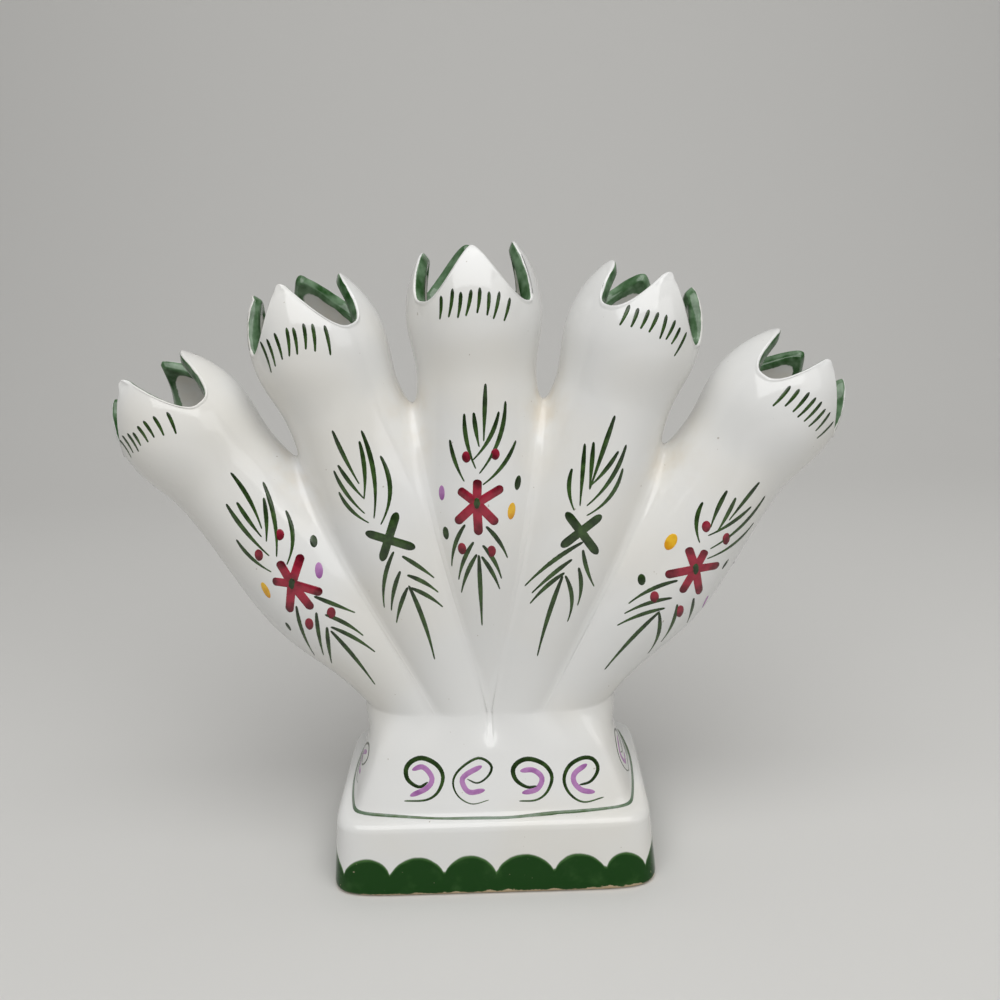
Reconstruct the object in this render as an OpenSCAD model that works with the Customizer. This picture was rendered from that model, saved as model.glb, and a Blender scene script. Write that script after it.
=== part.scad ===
// Five-fingered flower vase: a flat fan of five trumpet fingers on a flared pedestal and a low plinth.
// Millimetres. X runs along the fan, the front is towards -Y, Z is up and the origin is under the middle
// of the foot.

/* [Overall] */
// Height of the centre finger's petal tips above the table
height = 190; // [175:1:215]
// Thickness of the pottery
wall = 4; // [3:0.25:5]

/* [Plinth] */
// Width of the plinth at its foot
plinth_w = 100; // [90:0.5:112]
// Depth of the plinth at its foot, front to back
plinth_d = 66; // [58:0.5:76]
// Height of the plinth
plinth_h = 23.5; // [18:0.5:30]
// How far each side leans in from foot to shoulder
plinth_draft = 1.8; // [0:0.1:3]
// Radius of the plinth's rounded shoulder
shoulder_r = 3; // [1.5:0.25:4]
// Radius of the rounded edge at the foot
foot_r = 1.6; // [0.5:0.1:3]
// Width of the ring that the vase stands on, and of the plinth's wall
foot_ring = 8; // [7:0.25:10]
// Squareness of the bowed rectangular plan, where 2 is an ellipse
plan_power = 9; // [3:0.1:12]

/* [Floor] */
// Thickness of the floor slab
floor_t = 4; // [3:0.25:6]
// Height of the floor's underside above the table
floor_rise = 3; // [1:0.25:6]

/* [Pedestal] */
// Height of the waist, where the fingers begin
waist_h = 51; // [45:0.5:58]
// Flat ledge of the plinth that shows round the pedestal
ledge = 1.5; // [0.5:0.1:3]
// How hollow the flare of the pedestal is, where 1 is straight
flare_power = 1.7; // [1:0.05:2.4]
// Squareness of the pedestal under the finger roots, where 2 is an ellipse
flare_square = 4; // [2:0.1:8]

/* [Fingers] */
// Distance of the inner fingers' roots from the middle
inner_root_x = 9; // [8.5:0.1:10.5]
// Distance of the outer fingers' roots from the middle
outer_root_x = 22; // [21:0.1:24.5]
// Radius of the centre finger at its root
centre_root_r = 12.7; // [12.4:0.1:13.4]
// Width of the centre finger at its root, where the inner fingers nip it
centre_root_w = 1.4; // [1:0.1:2.4]
// Radius of the inner fingers at their roots
inner_root_r = 15.5; // [14.5:0.1:15.8]
// Radius of the outer fingers at their roots
outer_root_r = 14.4; // [14:0.1:15.5]
// Lean of the inner fingers at their roots, in degrees
inner_root_tilt = 17; // [13:0.5:18]
// Lean of the inner fingers at their tips, in degrees
inner_tip_tilt = 19; // [17:0.5:24]
// Lean of the outer fingers at their roots, in degrees
outer_root_tilt = 34.5; // [30:0.5:36]
// Lean of the outer fingers at their tips, in degrees
outer_tip_tilt = 36.5; // [34:0.5:42]
// Length of the inner fingers along their middle line
inner_reach = 136; // [128:0.5:145]
// Length of the outer fingers along their middle line
outer_reach = 129.5; // [120:0.5:138]
// Radius of the fingers at their belly
belly_r = 20.4; // [19:0.1:21.5]
// Distance of the belly below the petal tips
belly_drop = 78; // [68:0.5:84]
// Radius of the fingers at their neck
neck_r = 17.3; // [15.5:0.1:18]
// Distance of the neck below the petal tips
neck_drop = 37; // [33:0.5:44]
// Round of the valley where two fingers grow together
valley_round = 6; // [4:0.5:10]
// Round of the crease below the valley, where they run on side by side
crease_round = 2; // [1:0.25:4]

/* [Crowns] */
// Radius of each mouth at its petal tips
tip_r = 11.4; // [10:0.1:14]
// Thickness of the pottery at the petal tips
tip_wall = 3.2; // [2:0.1:3.5]
// How far the knife went in slantwise, from the outer edge of a cut down to its inner edge
cut_slant = 2.8; // [0:0.1:4]
// Radius of each cup at its widest
cup_r = 19.4; // [18.5:0.1:20.5]
// Distance of the widest part of the cup below the petal tips
cup_drop = 20; // [15:0.1:22]
// Depth of the cuts between the petals
cut_depth = 15; // [10:0.25:18]

/* [Hidden] */

glaze = "#efece4";
bare_clay = "#c9b190";
tiny = 0.0001;

// Points round a finger: quadrants of equal steps, some of them on the flank against the next finger
quadrant_steps = 12;
flank_steps = 4;
finger_sides = 4 * quadrant_steps;
flank_least = 90 * flank_steps / quadrant_steps;
// Rings along a finger's outside and inside, above and below the neck
cup_rings = 6;
stem_rings = 11;
bore_cup_rings = 4;
bore_stem_rings = 5;
// Passes that settle the rounding of a valley
valley_passes = 5;
// Share of a finger's length over which its rings turn from level to square with its middle line
level_share = 0.4;
// Points round the plinth and the pedestal, and rings up them
plan_sides = 72;
shoulder_steps = 4;
foot_steps = 2;
flare_rings = 8;
chamber_rings = 4;

// The five fingers from left to right
FAR_LEFT = 0;
LEFT = 1;
CENTRE = 2;
RIGHT = 3;
FAR_RIGHT = 4;
root_x = [-outer_root_x, -inner_root_x, 0, inner_root_x, outer_root_x];
root_r = [outer_root_r, inner_root_r, centre_root_r, inner_root_r, outer_root_r];
root_tilt = [-outer_root_tilt, -inner_root_tilt, 0, inner_root_tilt, outer_root_tilt];
tip_tilt = [-outer_tip_tilt, -inner_tip_tilt, 0, inner_tip_tilt, outer_tip_tilt];
reach = [outer_reach, inner_reach, height - waist_h, inner_reach, outer_reach];

// The crowns are cut by hand, and each is a little different. Petals run right, back, left, front, and each
// has the cut that follows it. Angles round the finger, in degrees from its right side by the back:
petal_angles = [
  [8, 73, 180, 270],
  [2, 87, 183, 265],
  [-2, 98, 172, 272],
  [12, 91, 190, 284],
  [3, 81, 179, 277]
];
cut_angles = [
  [36, 125, 222, 311],
  [40, 138, 214, 314],
  [46, 146, 226, 324],
  [50, 140, 232, 328],
  [45, 134, 233, 335]
];
// How far each petal's tip is cut down, and how much deeper each cut goes than usual
petal_drops = [
  [2.4, 0.4, 0.8, -1.2],
  [1.8, -1.7, -1.2, -1.6],
  [0, 1, 2.3, 0],
  [0.9, 1.6, 0.3, -1.7],
  [0.8, 0.6, 0, -0.7]
];
cut_extras = [
  [0, 0, 0, 1.7],
  [0, 0, -1.5, 0],
  [0, 0, -0.8, 0],
  [0, 0, -3.7, 0],
  [0, 0, -2.3, 0.5]
];
// Share of the way from cut to tip at which the right and the left petals are at half their height
petal_shares = [
  [0.41, 0.38],
  [0.45, 0.38],
  [0.27, 0.38],
  [0.47, 0.38],
  [0.4, 0.43]
];
// Angles of the petals and cuts of an even crown
even_angles = [0, 40, 90, 140, 180, 220, 270, 320, 360];

pedestal_inset = plinth_draft + shoulder_r + ledge;
plinth_half = [plinth_w / 2, plinth_d / 2];
waist_half = [outer_root_x + outer_root_r, max(root_r)];
// Share of the pedestal's height over which the hollows between the finger roots fade
flute_share = 0.5;
// Share of its radius at which a neighbour's skin has sunk into the crease
crease_share = 0.6;
// How squarely the cups turn in above their widest part
cup_fullness = 0.8;
// How sharp the front and back petals are, and how steep the sides of the broad right and left petals
petal_point = 2.1;
petal_steep = 4;
// Narrowest half width at which the centre finger is still hollow
least_bore = 3;

function mix(a, b, u) = a + (b - a) * u;
function clamp(u, low, high) = min(max(u, low), high);
function ease(u) = let(t = clamp(u, 0, 1)) t * t * (3 - 2 * t);
function cross2(a, b) = a.x * b.y - a.y * b.x;

// Middle line of a finger, an arc in the XZ plane, at s from its root
function turn(k) = (tip_tilt[k] - root_tilt[k]) / reach[k];
function tilt_at(k, s) = root_tilt[k] + turn(k) * s;
function bend_r(k) = 180 / PI / turn(k);
function axis_at(k, s) =
  abs(turn(k)) < tiny
    ? [root_x[k] + s * sin(root_tilt[k]), waist_h + s * cos(root_tilt[k])]
    : [
        root_x[k] + bend_r(k) * (cos(root_tilt[k]) - cos(tilt_at(k, s))),
        waist_h + bend_r(k) * (sin(tilt_at(k, s)) - sin(root_tilt[k]))
      ];

// Nearest place on a finger's middle line to the point p, as [s, distance]
function nearest(k, p) =
  abs(turn(k)) < tiny
    ? let(
        d = [sin(root_tilt[k]), cos(root_tilt[k])],
        v = p - [root_x[k], waist_h]
      ) [v * d, abs(cross2(v, d))]
    : let(
        r = bend_r(k),
        c = [root_x[k] + r * cos(root_tilt[k]), waist_h - r * sin(root_tilt[k])],
        v = (p - c) * sign(r)
      ) [(atan2(v.y, -v.x) - root_tilt[k]) / turn(k), abs(norm(v) - abs(r))];

// Outside radius of a finger at s from its root
function radius(k, s) =
  let(d = reach[k] - s)
    d < cup_drop ? mix(tip_r, cup_r, pow(1 - pow(1 - max(d, 0) / cup_drop, 2), cup_fullness))
  : d < neck_drop ? mix(cup_r, neck_r, ease((d - cup_drop) / (neck_drop - cup_drop)))
  : d < belly_drop ? mix(neck_r, belly_r, ease((d - neck_drop) / (belly_drop - neck_drop)))
  : mix(belly_r, root_r[k], ease((d - belly_drop) / (reach[k] - belly_drop)));

// The flat joint between finger k and finger k + 1: its foot at the waist and a point between the necks
function seam_foot(k) =
  k == LEFT || k == CENTRE
    ? [(k == LEFT ? -1 : 1) * centre_root_w / 2, waist_h]
    : let(
        a = root_x[k],
        b = root_x[k + 1],
        x = (a + b) / 2 + (pow(root_r[k], 2) - pow(root_r[k + 1], 2)) / (2 * (b - a))
      ) [x, waist_h];
function neck_at(k) = axis_at(k, reach[k] - neck_drop);
function seam_run(k) = (neck_at(k) + neck_at(k + 1)) / 2 - seam_foot(k);

// Half depth of the joint at a point of it, shared by the two fingers
function lift_at(share) =
  mix(crease_round, valley_round, ease((share - crease_share) / (1 - crease_share))) / 4;
function half_depth(k, p) =
  let(
    n = nearest(k, p),
    own = radius(k, n[0]),
    r = own + lift_at(n[1] / own)
  ) sqrt(max(r * r - n[1] * n[1], 0));
function seam_depth(k, p) = (half_depth(k, p) + half_depth(k + 1, p)) / 2;

// Lean of the ring through s, and its direction towards +X
function ring_tilt(k, s) = tilt_at(k, s) * ease(s / (level_share * reach[k]));
function ring_out(k, s) = [cos(ring_tilt(k, s)), -sin(ring_tilt(k, s))];

// A ring's joint on one side (1 towards +X, -1 towards -X) as [distance, half depth], or [0, 0] if it is free
function has_joint(k, side) = side > 0 ? k < FAR_RIGHT : k > FAR_LEFT;
function joint_at(k, s, side) =
  !has_joint(k, side) ? [0, 0]
  : let(
      j = side > 0 ? k : k - 1,
      n = ring_out(k, s),
      c = axis_at(k, s),
      t = seam_run(j),
      d = -cross2(c - seam_foot(j), t) / cross2(n, t)
    ) [abs(d), seam_depth(j, c + n * d)];

// Section of a plain finger in its ring plane
function section_r(k, s, angle) =
  radius(k, s) / sqrt(pow(cos(angle) * cos(tilt_at(k, s) - ring_tilt(k, s)), 2) + pow(sin(angle), 2));

// Angle of point i round a ring, with one point on the edge of each flank
function side_of(i) = i < quadrant_steps || i > 3 * quadrant_steps ? 1 : -1;
function flank_angle(joint) = joint[0] == 0 ? flank_least : max(atan2(joint[1], joint[0]), flank_least);
function quadrant_angle(i, edge) =
  i <= flank_steps
    ? edge * i / flank_steps
    : mix(edge, 90, (i - flank_steps) / (quadrant_steps - flank_steps));
function point_angle(i, joint) =
  let(
    half = i % (2 * quadrant_steps),
    q = half <= quadrant_steps ? half : 2 * quadrant_steps - half,
    a = quadrant_angle(q, flank_angle(joint))
  ) i <= quadrant_steps ? a
  : i <= 2 * quadrant_steps ? 180 - a
  : i <= 3 * quadrant_steps ? 180 + a
  : 360 - a;

// Radius rounded into the valley against the mirrored neighbour
function valley_k(r, joint) =
  joint[1] > 0 ? max(4 * (norm(joint) - r), tiny) : valley_round;
function swell(r, angle, d, k, now, pass) =
  pass == 0 ? now
  : let(
      own = now - r,
      other = norm([now * abs(cos(angle)) - 2 * d, now * sin(angle)]) - r,
      h = max(1 - abs(other - own) / k, 0)
    ) swell(r, angle, d, k, r + h * h * k / 4, pass - 1);
function outer_r(k, s, angle, joint) =
  let(r = section_r(k, s, angle))
    joint[0] == 0 ? r
  : let(
      edge_r = section_r(k, s, atan2(joint[1], joint[0])),
      full = swell(r, angle, joint[0], valley_k(edge_r, joint), r, valley_passes)
    ) min(full, joint[0] / max(abs(cos(angle)), tiny));
function wall_at(k, s) = mix(tip_wall, wall, sqrt(clamp((reach[k] - s) / cup_drop, 0, 1)));
function bore_r(k, s, angle, joint) =
  let(r = section_r(k, s, angle) - wall_at(k, s))
    joint[0] == 0 ? r : min(r, (joint[0] - wall / 2) / max(abs(cos(angle)), tiny));

// The angle of an even crown at which its edge is as it is here at this angle
function even_angle(k, angle) =
  let(
    first = petal_angles[k][0],
    knots = [
      for (i = [0:3]) [petal_angles[k][i], even_angles[2 * i]],
      for (i = [0:3]) [cut_angles[k][i], even_angles[2 * i + 1]],
      [first + 360, 360]
    ]
  ) lookup((angle - first + 720) % 360 + first, knots);

// Depth of the cut edge below a finger's full length, round its mouth
function half_way(u, share) = 1 / (1 + pow(u / share, petal_steep));
function cut_at(k, angle) =
  let(
    even = even_angle(k, angle),
    deepest = cut_depth + cut_extras[k][floor(even / 90) % 4],
    from_face = abs(90 - even % 180),
    on_face = from_face < 50,
    u = (from_face - 50) / 40,
    share = petal_shares[k][cos(even) > 0 ? 0 : 1],
    cut = on_face
      ? pow(sin(90 * from_face / 50), petal_point)
      : (half_way(u, share) - half_way(1, share)) / (1 - half_way(1, share)),
    petal = on_face ? (sin(even) > 0 ? 1 : 3) : (cos(even) > 0 ? 0 : 2)
  ) mix(petal_drops[k][petal], deepest, cut);

// One point of a finger, drop below the petal tips, with the rings above the neck bent to the cut edge
function finger_point(k, drop, i, bored) =
  let(
    level = reach[k] - drop,
    first = joint_at(k, level, side_of(i)),
    angle = point_angle(i, first),
    s = level - (cut_at(k, angle) + (bored ? cut_slant : 0)) * max(1 - drop / neck_drop, 0),
    joint = drop < neck_drop ? joint_at(k, s, side_of(i)) : first,
    r = bored ? bore_r(k, s, angle, joint) : outer_r(k, s, angle, joint),
    p = axis_at(k, s) + ring_out(k, s) * r * cos(angle)
  ) [p.x, r * sin(angle), p.y];
function finger_ring(k, drop, bored) = [for (i = [0:finger_sides - 1]) finger_point(k, drop, i, bored)];
function drops(bottom, cups, stems) = [
  for (i = [stems:-1:1]) mix(neck_drop, bottom, i / stems),
  for (i = [cups:-1:0]) neck_drop * i / cups
];
// Depth of a finger's bore below its tips: right through, but the centre finger ends in a solid wedge
function seam_slope(j) = seam_run(j).x / seam_run(j).y;
function bore_bottom(k) =
  k != CENTRE ? reach[k]
  : let(
      rise = (wall + 2 * least_bore - centre_root_w) / (seam_slope(CENTRE) - seam_slope(LEFT))
    ) reach[k] - max(rise, 0);

// Walls and ends of a hollow form that is given as rings of equal count
function band(low, high, sides) = [
  for (i = [0:sides - 1], j = (i + 1) % sides)
    each [[low + i, low + j, high + j], [low + i, high + j, high + i]]
];
function rings_faces(first, count, sides) = [
  for (r = [0:count - 2], f = band(first + r * sides, first + (r + 1) * sides, sides)) f
];
function flipped(faces) = [for (f = faces) [for (i = [len(f) - 1:-1:0]) f[i]]];
function fan(first, sides, middle) = [for (i = [0:sides - 1]) [middle, first + (i + 1) % sides, first + i]];
function middle_of(ring) = [for (p = ring) 1] * ring / len(ring);

// Hollow form between outside and inside rings, both listed from the bottom up and open at the top.
// The bottom is open too, unless the inside ends above it.
module hollow(outside, inside, closed = false) {
  sides = len(outside[0]);
  inner = len(outside) * sides;
  outer_top = inner - sides;
  inner_top = inner + (len(inside) - 1) * sides;
  middle = inner_top + sides;
  bottom =
    closed
      ? concat(fan(0, sides, middle), flipped(fan(inner, sides, middle + 1)))
      : flipped(band(0, inner, sides));
  middles = closed ? [middle_of(outside[0]), middle_of(inside[0])] : [];
  polyhedron(
    points = concat([for (ring = concat(outside, inside), p = ring) p], middles),
    faces = flipped(concat(
      rings_faces(0, len(outside), sides),
      flipped(rings_faces(inner, len(inside), sides)),
      band(outer_top, inner_top, sides),
      bottom
    ))
  );
}

module finger(k) {
  bottom = bore_bottom(k);
  hollow(
    [for (d = drops(reach[k], cup_rings, stem_rings)) finger_ring(k, d, false)],
    [for (d = drops(bottom, bore_cup_rings, bore_stem_rings)) finger_ring(k, d, true)],
    closed = bottom < reach[k]
  );
}

// Plan of the plinth, a bowed rectangle, drawn in by an inset and lifted to a height
function oblong_r(angle, half, power) =
  pow(pow(abs(cos(angle)) / half.x, power) + pow(abs(sin(angle)) / half.y, power), -1 / power);
function plan_r(angle, inset) = oblong_r(angle, plinth_half - [inset, inset], plan_power);
// Equal steps round the plan's own ellipse, so that its corners get their share of points
function plan_angle(i) =
  let(a = 360 * i / plan_sides) atan2(plinth_half.y * sin(a), plinth_half.x * cos(a));
function round_plan(r_of, z) = [
  for (i = [0:plan_sides - 1], a = plan_angle(i), r = r_of(a)) [r * cos(a), r * sin(a), z]
];
function plan_ring(inset, z) = round_plan(function(a) plan_r(a, inset), z);
function flat_plan(inset) = [for (p = plan_ring(inset, 0)) [p.x, p.y]];

// Outline of the five finger roots at the waist, as a distance from the middle
function root_reach(k, angle) =
  let(w = pow(root_r[k], 2) - pow(root_x[k] * sin(angle), 2))
    w < 0 ? 0 : root_x[k] * cos(angle) + sqrt(w);
function waist_r(angle) = max([for (k = [FAR_LEFT:FAR_RIGHT]) root_reach(k, angle)]);
function flare_ring(u, inset) =
  let(
    g = 1 - pow(1 - clamp(u, 0, 1), flare_power),
    fluted = ease((u - 1 + flute_share) / flute_share),
    top_r = function(a) mix(oblong_r(a, waist_half, flare_square), waist_r(a), fluted)
  ) round_plan(
      function(a) mix(plan_r(a, pedestal_inset), top_r(a), g) - inset,
      mix(plinth_h, waist_h, u)
    );

// Slab that closes the vase underneath, a little above the table
module floor_slab() {
  color(bare_clay)
    translate([0, 0, floor_rise])
      linear_extrude(floor_t)
        polygon(flat_plan(foot_ring));
}

// Low base with leaning sides, a rounded shoulder and a flat foot ring
module plinth() {
  color(glaze)
    hollow(
      [
        for (i = [0:foot_steps])
          let(a = 90 * i / foot_steps)
            plan_ring(foot_r * (1 - sin(a)), foot_r * (1 - cos(a))),
        for (i = [0:shoulder_steps])
          let(a = 90 * i / shoulder_steps)
            plan_ring(plinth_draft + shoulder_r * (1 - cos(a)), plinth_h - shoulder_r * (1 - sin(a)))
      ],
      [for (z = [0, plinth_h]) plan_ring(foot_ring, z)]
    );
}

// Hollow flare that carries the fingers
module pedestal() {
  color(glaze)
    hollow(
      [for (i = [0:flare_rings]) flare_ring(i / flare_rings, 0)],
      [for (i = [0:chamber_rings]) flare_ring(i / chamber_rings, wall)]
    );
}

module finger_far_left() {
  color(glaze) finger(FAR_LEFT);
}

module finger_left() {
  color(glaze) finger(LEFT);
}

module finger_centre() {
  color(glaze) finger(CENTRE);
}

module finger_right() {
  color(glaze) finger(RIGHT);
}

module finger_far_right() {
  color(glaze) finger(FAR_RIGHT);
}

floor_slab();  // floor
plinth();
pedestal();
finger_far_left();
finger_left();
finger_centre();
finger_right();
finger_far_right();
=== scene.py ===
"""A five-fingered flower vase: white glazed pottery, hand-painted with sprigs, stars, scrolls and scallops.

Lengths are in millimetres until a mesh is made, with X along the fan, the front towards -Y and Z up from the
table, as in the solids. Angles round a finger start at its +X side and turn towards the back.
"""

import math

import bpy
import numpy as np
from mathutils import Matrix, Vector
from mathutils.bvhtree import BVHTree


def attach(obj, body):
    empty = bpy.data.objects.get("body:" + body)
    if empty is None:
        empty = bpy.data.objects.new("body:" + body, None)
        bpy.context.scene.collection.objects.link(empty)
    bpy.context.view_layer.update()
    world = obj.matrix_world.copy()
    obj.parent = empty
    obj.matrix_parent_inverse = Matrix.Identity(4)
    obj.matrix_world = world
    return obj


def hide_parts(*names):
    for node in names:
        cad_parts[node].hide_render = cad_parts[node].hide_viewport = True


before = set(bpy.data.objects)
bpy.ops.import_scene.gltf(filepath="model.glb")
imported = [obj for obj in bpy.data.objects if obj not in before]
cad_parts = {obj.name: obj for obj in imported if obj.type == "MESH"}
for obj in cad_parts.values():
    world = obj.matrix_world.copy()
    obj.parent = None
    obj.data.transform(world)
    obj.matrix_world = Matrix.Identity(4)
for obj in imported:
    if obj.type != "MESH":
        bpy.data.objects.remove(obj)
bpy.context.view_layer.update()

MM = 0.001
TINY = 1e-6

# Sizes of the whole, the plinth and the waist, as in the solids
HEIGHT = 190.0
WALL = 4.0
PLINTH_HALF = (50.0, 33.0)
PLINTH_H = 23.5
PLINTH_DRAFT = 1.8
SHOULDER_R = 3.0
FOOT_R = 1.6
FOOT_RING = 8.0
PLAN_POWER = 9.0
WAIST_H = 51.0
LEDGE = 1.5
PEDESTAL_INSET = PLINTH_DRAFT + SHOULDER_R + LEDGE

# The five fingers from left to right, as in the solids apart from a thicker rim and outer fingers that are a
# little shorter, so that their round cups stay within the solids' flat facets
FAR_LEFT, LEFT, CENTRE, RIGHT, FAR_RIGHT = range(5)
FINGERS = ("far_left", "left", "centre", "right", "far_right")
ROOT_X = (-22.0, -9.0, 0.0, 9.0, 22.0)
ROOT_R = (14.4, 15.5, 12.7, 15.5, 14.4)
ROOT_TILT = np.radians((-34.5, -17.0, 0.0, 17.0, 34.5))
TIP_TILT = np.radians((-36.5, -19.0, 0.0, 19.0, 36.5))
WAIST_HALF = ROOT_X[FAR_RIGHT] + ROOT_R[FAR_RIGHT], max(ROOT_R)
REACH = (128.9, 136.0, HEIGHT - WAIST_H, 136.0, 128.9)
CENTRE_ROOT_W = 1.4
BELLY_R, BELLY_DROP = 20.4, 78.0
NECK_R, NECK_DROP = 17.3, 37.0
CUP_R, CUP_DROP = 19.4, 20.0
TIP_R, TIP_WALL = 11.4, 3.8
CUP_FULLNESS = 0.8
# Rounding between two fingers, in the open valley and in the crease below it
VALLEY_ROUND, CREASE_ROUND, CREASE_SHARE = 6.0, 2.0, 0.6
# Share of a finger over which its rings turn from level to square with it, and the least bore
LEVEL_SHARE = 0.4
LEAST_BORE = 3.0

# Crowns, each cut by hand a little differently. Petals run right, back, left, front, and each has the cut
# that follows it. Their angles round the finger:
PETAL_ANGLES = np.radians(
    ((8, 73, 177, 264), (2, 87, 183, 265), (-2, 98, 172, 272), (12, 91, 190, 284), (3, 81, 179, 277))
)
CUT_ANGLES = np.radians(
    ((36, 125, 203, 309), (40, 138, 214, 314), (46, 146, 226, 324), (50, 140, 232, 328), (45, 134, 233, 335))
)
# How far each petal's tip is cut down, and how much deeper each cut goes than usual
PETAL_DROPS = (
    (1.4, -0.4, -0.2, -2.0),
    (1.8, -1.7, -1.2, -1.6),
    (0.0, 1.0, 2.3, 0.0),
    (0.9, 1.6, 0.3, -1.7),
    (0.8, 0.6, 0.0, -0.7),
)
CUT_DEPTH, CUT_SLANT = 15.0, 2.8
CUT_EXTRAS = ((0, 0, -1.0, 1.2), (0, 0, -1.5, 0), (0, 0, -0.8, 0), (0, 0, -3.7, 0), (0, 0, -2.3, 0.5))
# Share of the way from cut to tip at which the right and the left petals are at half their height
PETAL_SHARES = ((0.41, 0.38), (0.45, 0.38), (0.27, 0.38), (0.47, 0.38), (0.4, 0.43))
PETAL_POINT, PETAL_STEEP = 2.1, 4.0
# Angles of the petals and cuts of an even crown, and from a front or a side petal to its cut
EVEN_ANGLES = np.radians((0, 40, 90, 140, 180, 220, 270, 320, 360))
FACE_SPAN, SIDE_SPAN = math.radians(50.0), math.radians(40.0)
RIM_ROUND = 0.8
# Steps over the rounded rim: share of the way in, share of the rounding, and how thick the green lies there
RIM_STEPS = (
    (0.0, 0.0, 0.0),
    (0.05, 0.55, 0.3),
    (0.16, 0.9, 0.75),
    (0.32, 1.0, 1.0),
    (0.5, 0.98, 1.0),
    (0.68, 1.0, 1.0),
    (0.84, 0.9, 0.95),
    (0.95, 0.55, 0.8),
    (1.0, 0.0, 1.0),
)
# How thick the green lies on the first rows inside the bore
BORE_PAINT = (1.0, 0.45)

# The pedestal, finer than in the solids: half its plan at the foot, how far its sides bow there and at the
# waist, how sharp the ridges between them are, how hollow it flares, the share of it that is fluted, and the
# soft hollow where it meets the plinth
FLARE_FOOT_HALF, FLARE_FOOT_BOW, FLARE_WAIST_BOW = (44.6, 28.0), (3.6, 4.4), (6.0, 1.0)
RIDGE_POWER = 22.0
FLARE_POWER = 1.15
FLUTE_SHARE = 0.4
FOOT_FILLET, FOOT_FILLET_H = 0.5, 2.5

# Mesh steps: columns in a quarter of a finger, those of them on its flank, and columns round the base
QUARTER = 48
FLANK = 13
BASE_COLUMNS = 560
# Least flank above the valleys and in them, how far it takes to change, how far down the columns follow the
# cut edge, and where the first row below the rim is
EVEN_FLANK, SADDLE_FLANK = math.radians(90.0 * FLANK / QUARTER), math.radians(2.0)
SADDLE_RUN, RIM_RUN, BELOW_RIM = 8.0, 12.0, 2.4 * RIM_ROUND
# Rows of the plinth's foot, side and shoulder, and the share of the foot ring at which it has one more
FOOT_STEPS, SIDE_STEPS, SHOULDER_STEPS, FOOT_MIDDLE = 7, 36, 10, 0.55
# How far fingers lap over their joints, and how near to one a point counts as on it
JOINT_LAP, FLUSH = 0.03, 0.0001
# Rounds and samples of the searches: for a skin, a bowed edge, the length of a rim and the bottom of a valley
HALVINGS, BOW_ROUNDS, RIM_SAMPLES, VALLEY_SEARCH = 30, 24, 2000, (0.3, 1.2, 400)


def mix(a, b, u):
    return a + (b - a) * u


def ease(u):
    t = np.clip(u, 0.0, 1.0)
    return t * t * (3.0 - 2.0 * t)


def cross2(ax, az, bx, bz):
    return ax * bz - az * bx


def unit(v):
    return v / np.maximum(np.linalg.norm(v, axis=-1, keepdims=True), TINY)


# Shape of a finger


def bend(k):
    return (TIP_TILT[k] - ROOT_TILT[k]) / REACH[k]


def tilt_at(k, s):
    return ROOT_TILT[k] + bend(k) * s


def axis_at(k, s):
    """Point of a finger's middle line at s from its root."""
    root = ROOT_TILT[k]
    if abs(bend(k)) < TINY:
        return ROOT_X[k] + s * math.sin(root), WAIST_H + s * math.cos(root)
    tilt = tilt_at(k, s)
    x = ROOT_X[k] + (math.cos(root) - np.cos(tilt)) / bend(k)
    z = WAIST_H + (np.sin(tilt) - math.sin(root)) / bend(k)
    return x, z


def nearest(k, x, z):
    """Nearest place on a finger's middle line: its s, and how far off it is."""
    root = ROOT_TILT[k]
    if abs(bend(k)) < TINY:
        vx, vz = x - ROOT_X[k], z - WAIST_H
        dx, dz = math.sin(root), math.cos(root)
        return vx * dx + vz * dz, np.abs(cross2(vx, vz, dx, dz))
    r = 1.0 / bend(k)
    vx = (x - ROOT_X[k] - r * math.cos(root)) * np.sign(r)
    vz = (z - WAIST_H + r * math.sin(root)) * np.sign(r)
    return (np.arctan2(vz, -vx) - root) / bend(k), np.abs(np.hypot(vx, vz) - abs(r))


def radius(k, s):
    """Outside radius of a finger: petal tips, cup, neck, belly and root."""
    d = REACH[k] - s
    inward = 1.0 - np.clip(d / CUP_DROP, 0.0, 1.0)
    cup = mix(TIP_R, CUP_R, (1.0 - inward**2) ** CUP_FULLNESS)
    neck = mix(CUP_R, NECK_R, ease((d - CUP_DROP) / (NECK_DROP - CUP_DROP)))
    belly = mix(NECK_R, BELLY_R, ease((d - NECK_DROP) / (BELLY_DROP - NECK_DROP)))
    root = mix(BELLY_R, ROOT_R[k], ease((d - BELLY_DROP) / (REACH[k] - BELLY_DROP)))
    return np.where(d < CUP_DROP, cup, np.where(d < NECK_DROP, neck, np.where(d < BELLY_DROP, belly, root)))


def seam_foot(j):
    """Where the flat joint between finger j and the next one meets the waist."""
    if j == LEFT:
        return -CENTRE_ROOT_W / 2
    if j == CENTRE:
        return CENTRE_ROOT_W / 2
    a, b = ROOT_X[j], ROOT_X[j + 1]
    return (a + b) / 2 + (ROOT_R[j] ** 2 - ROOT_R[j + 1] ** 2) / (2 * (b - a))


def seam_run(j):
    ax, az = axis_at(j, REACH[j] - NECK_DROP)
    bx, bz = axis_at(j + 1, REACH[j + 1] - NECK_DROP)
    return (ax + bx) / 2 - seam_foot(j), (az + bz) / 2 - WAIST_H


def gap_to(k, x, y, z):
    """Distance of a point from the skin of a plain finger."""
    s, off = nearest(k, x, z)
    return np.hypot(off, y) - radius(k, s)


def rounded(own, other, rounding):
    """Distance from the skin of two fingers that are rounded into each other."""
    near = np.maximum(1 - np.abs(own - other) / rounding, 0.0)
    return np.minimum(own, other) - near * near * rounding / 4


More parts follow.
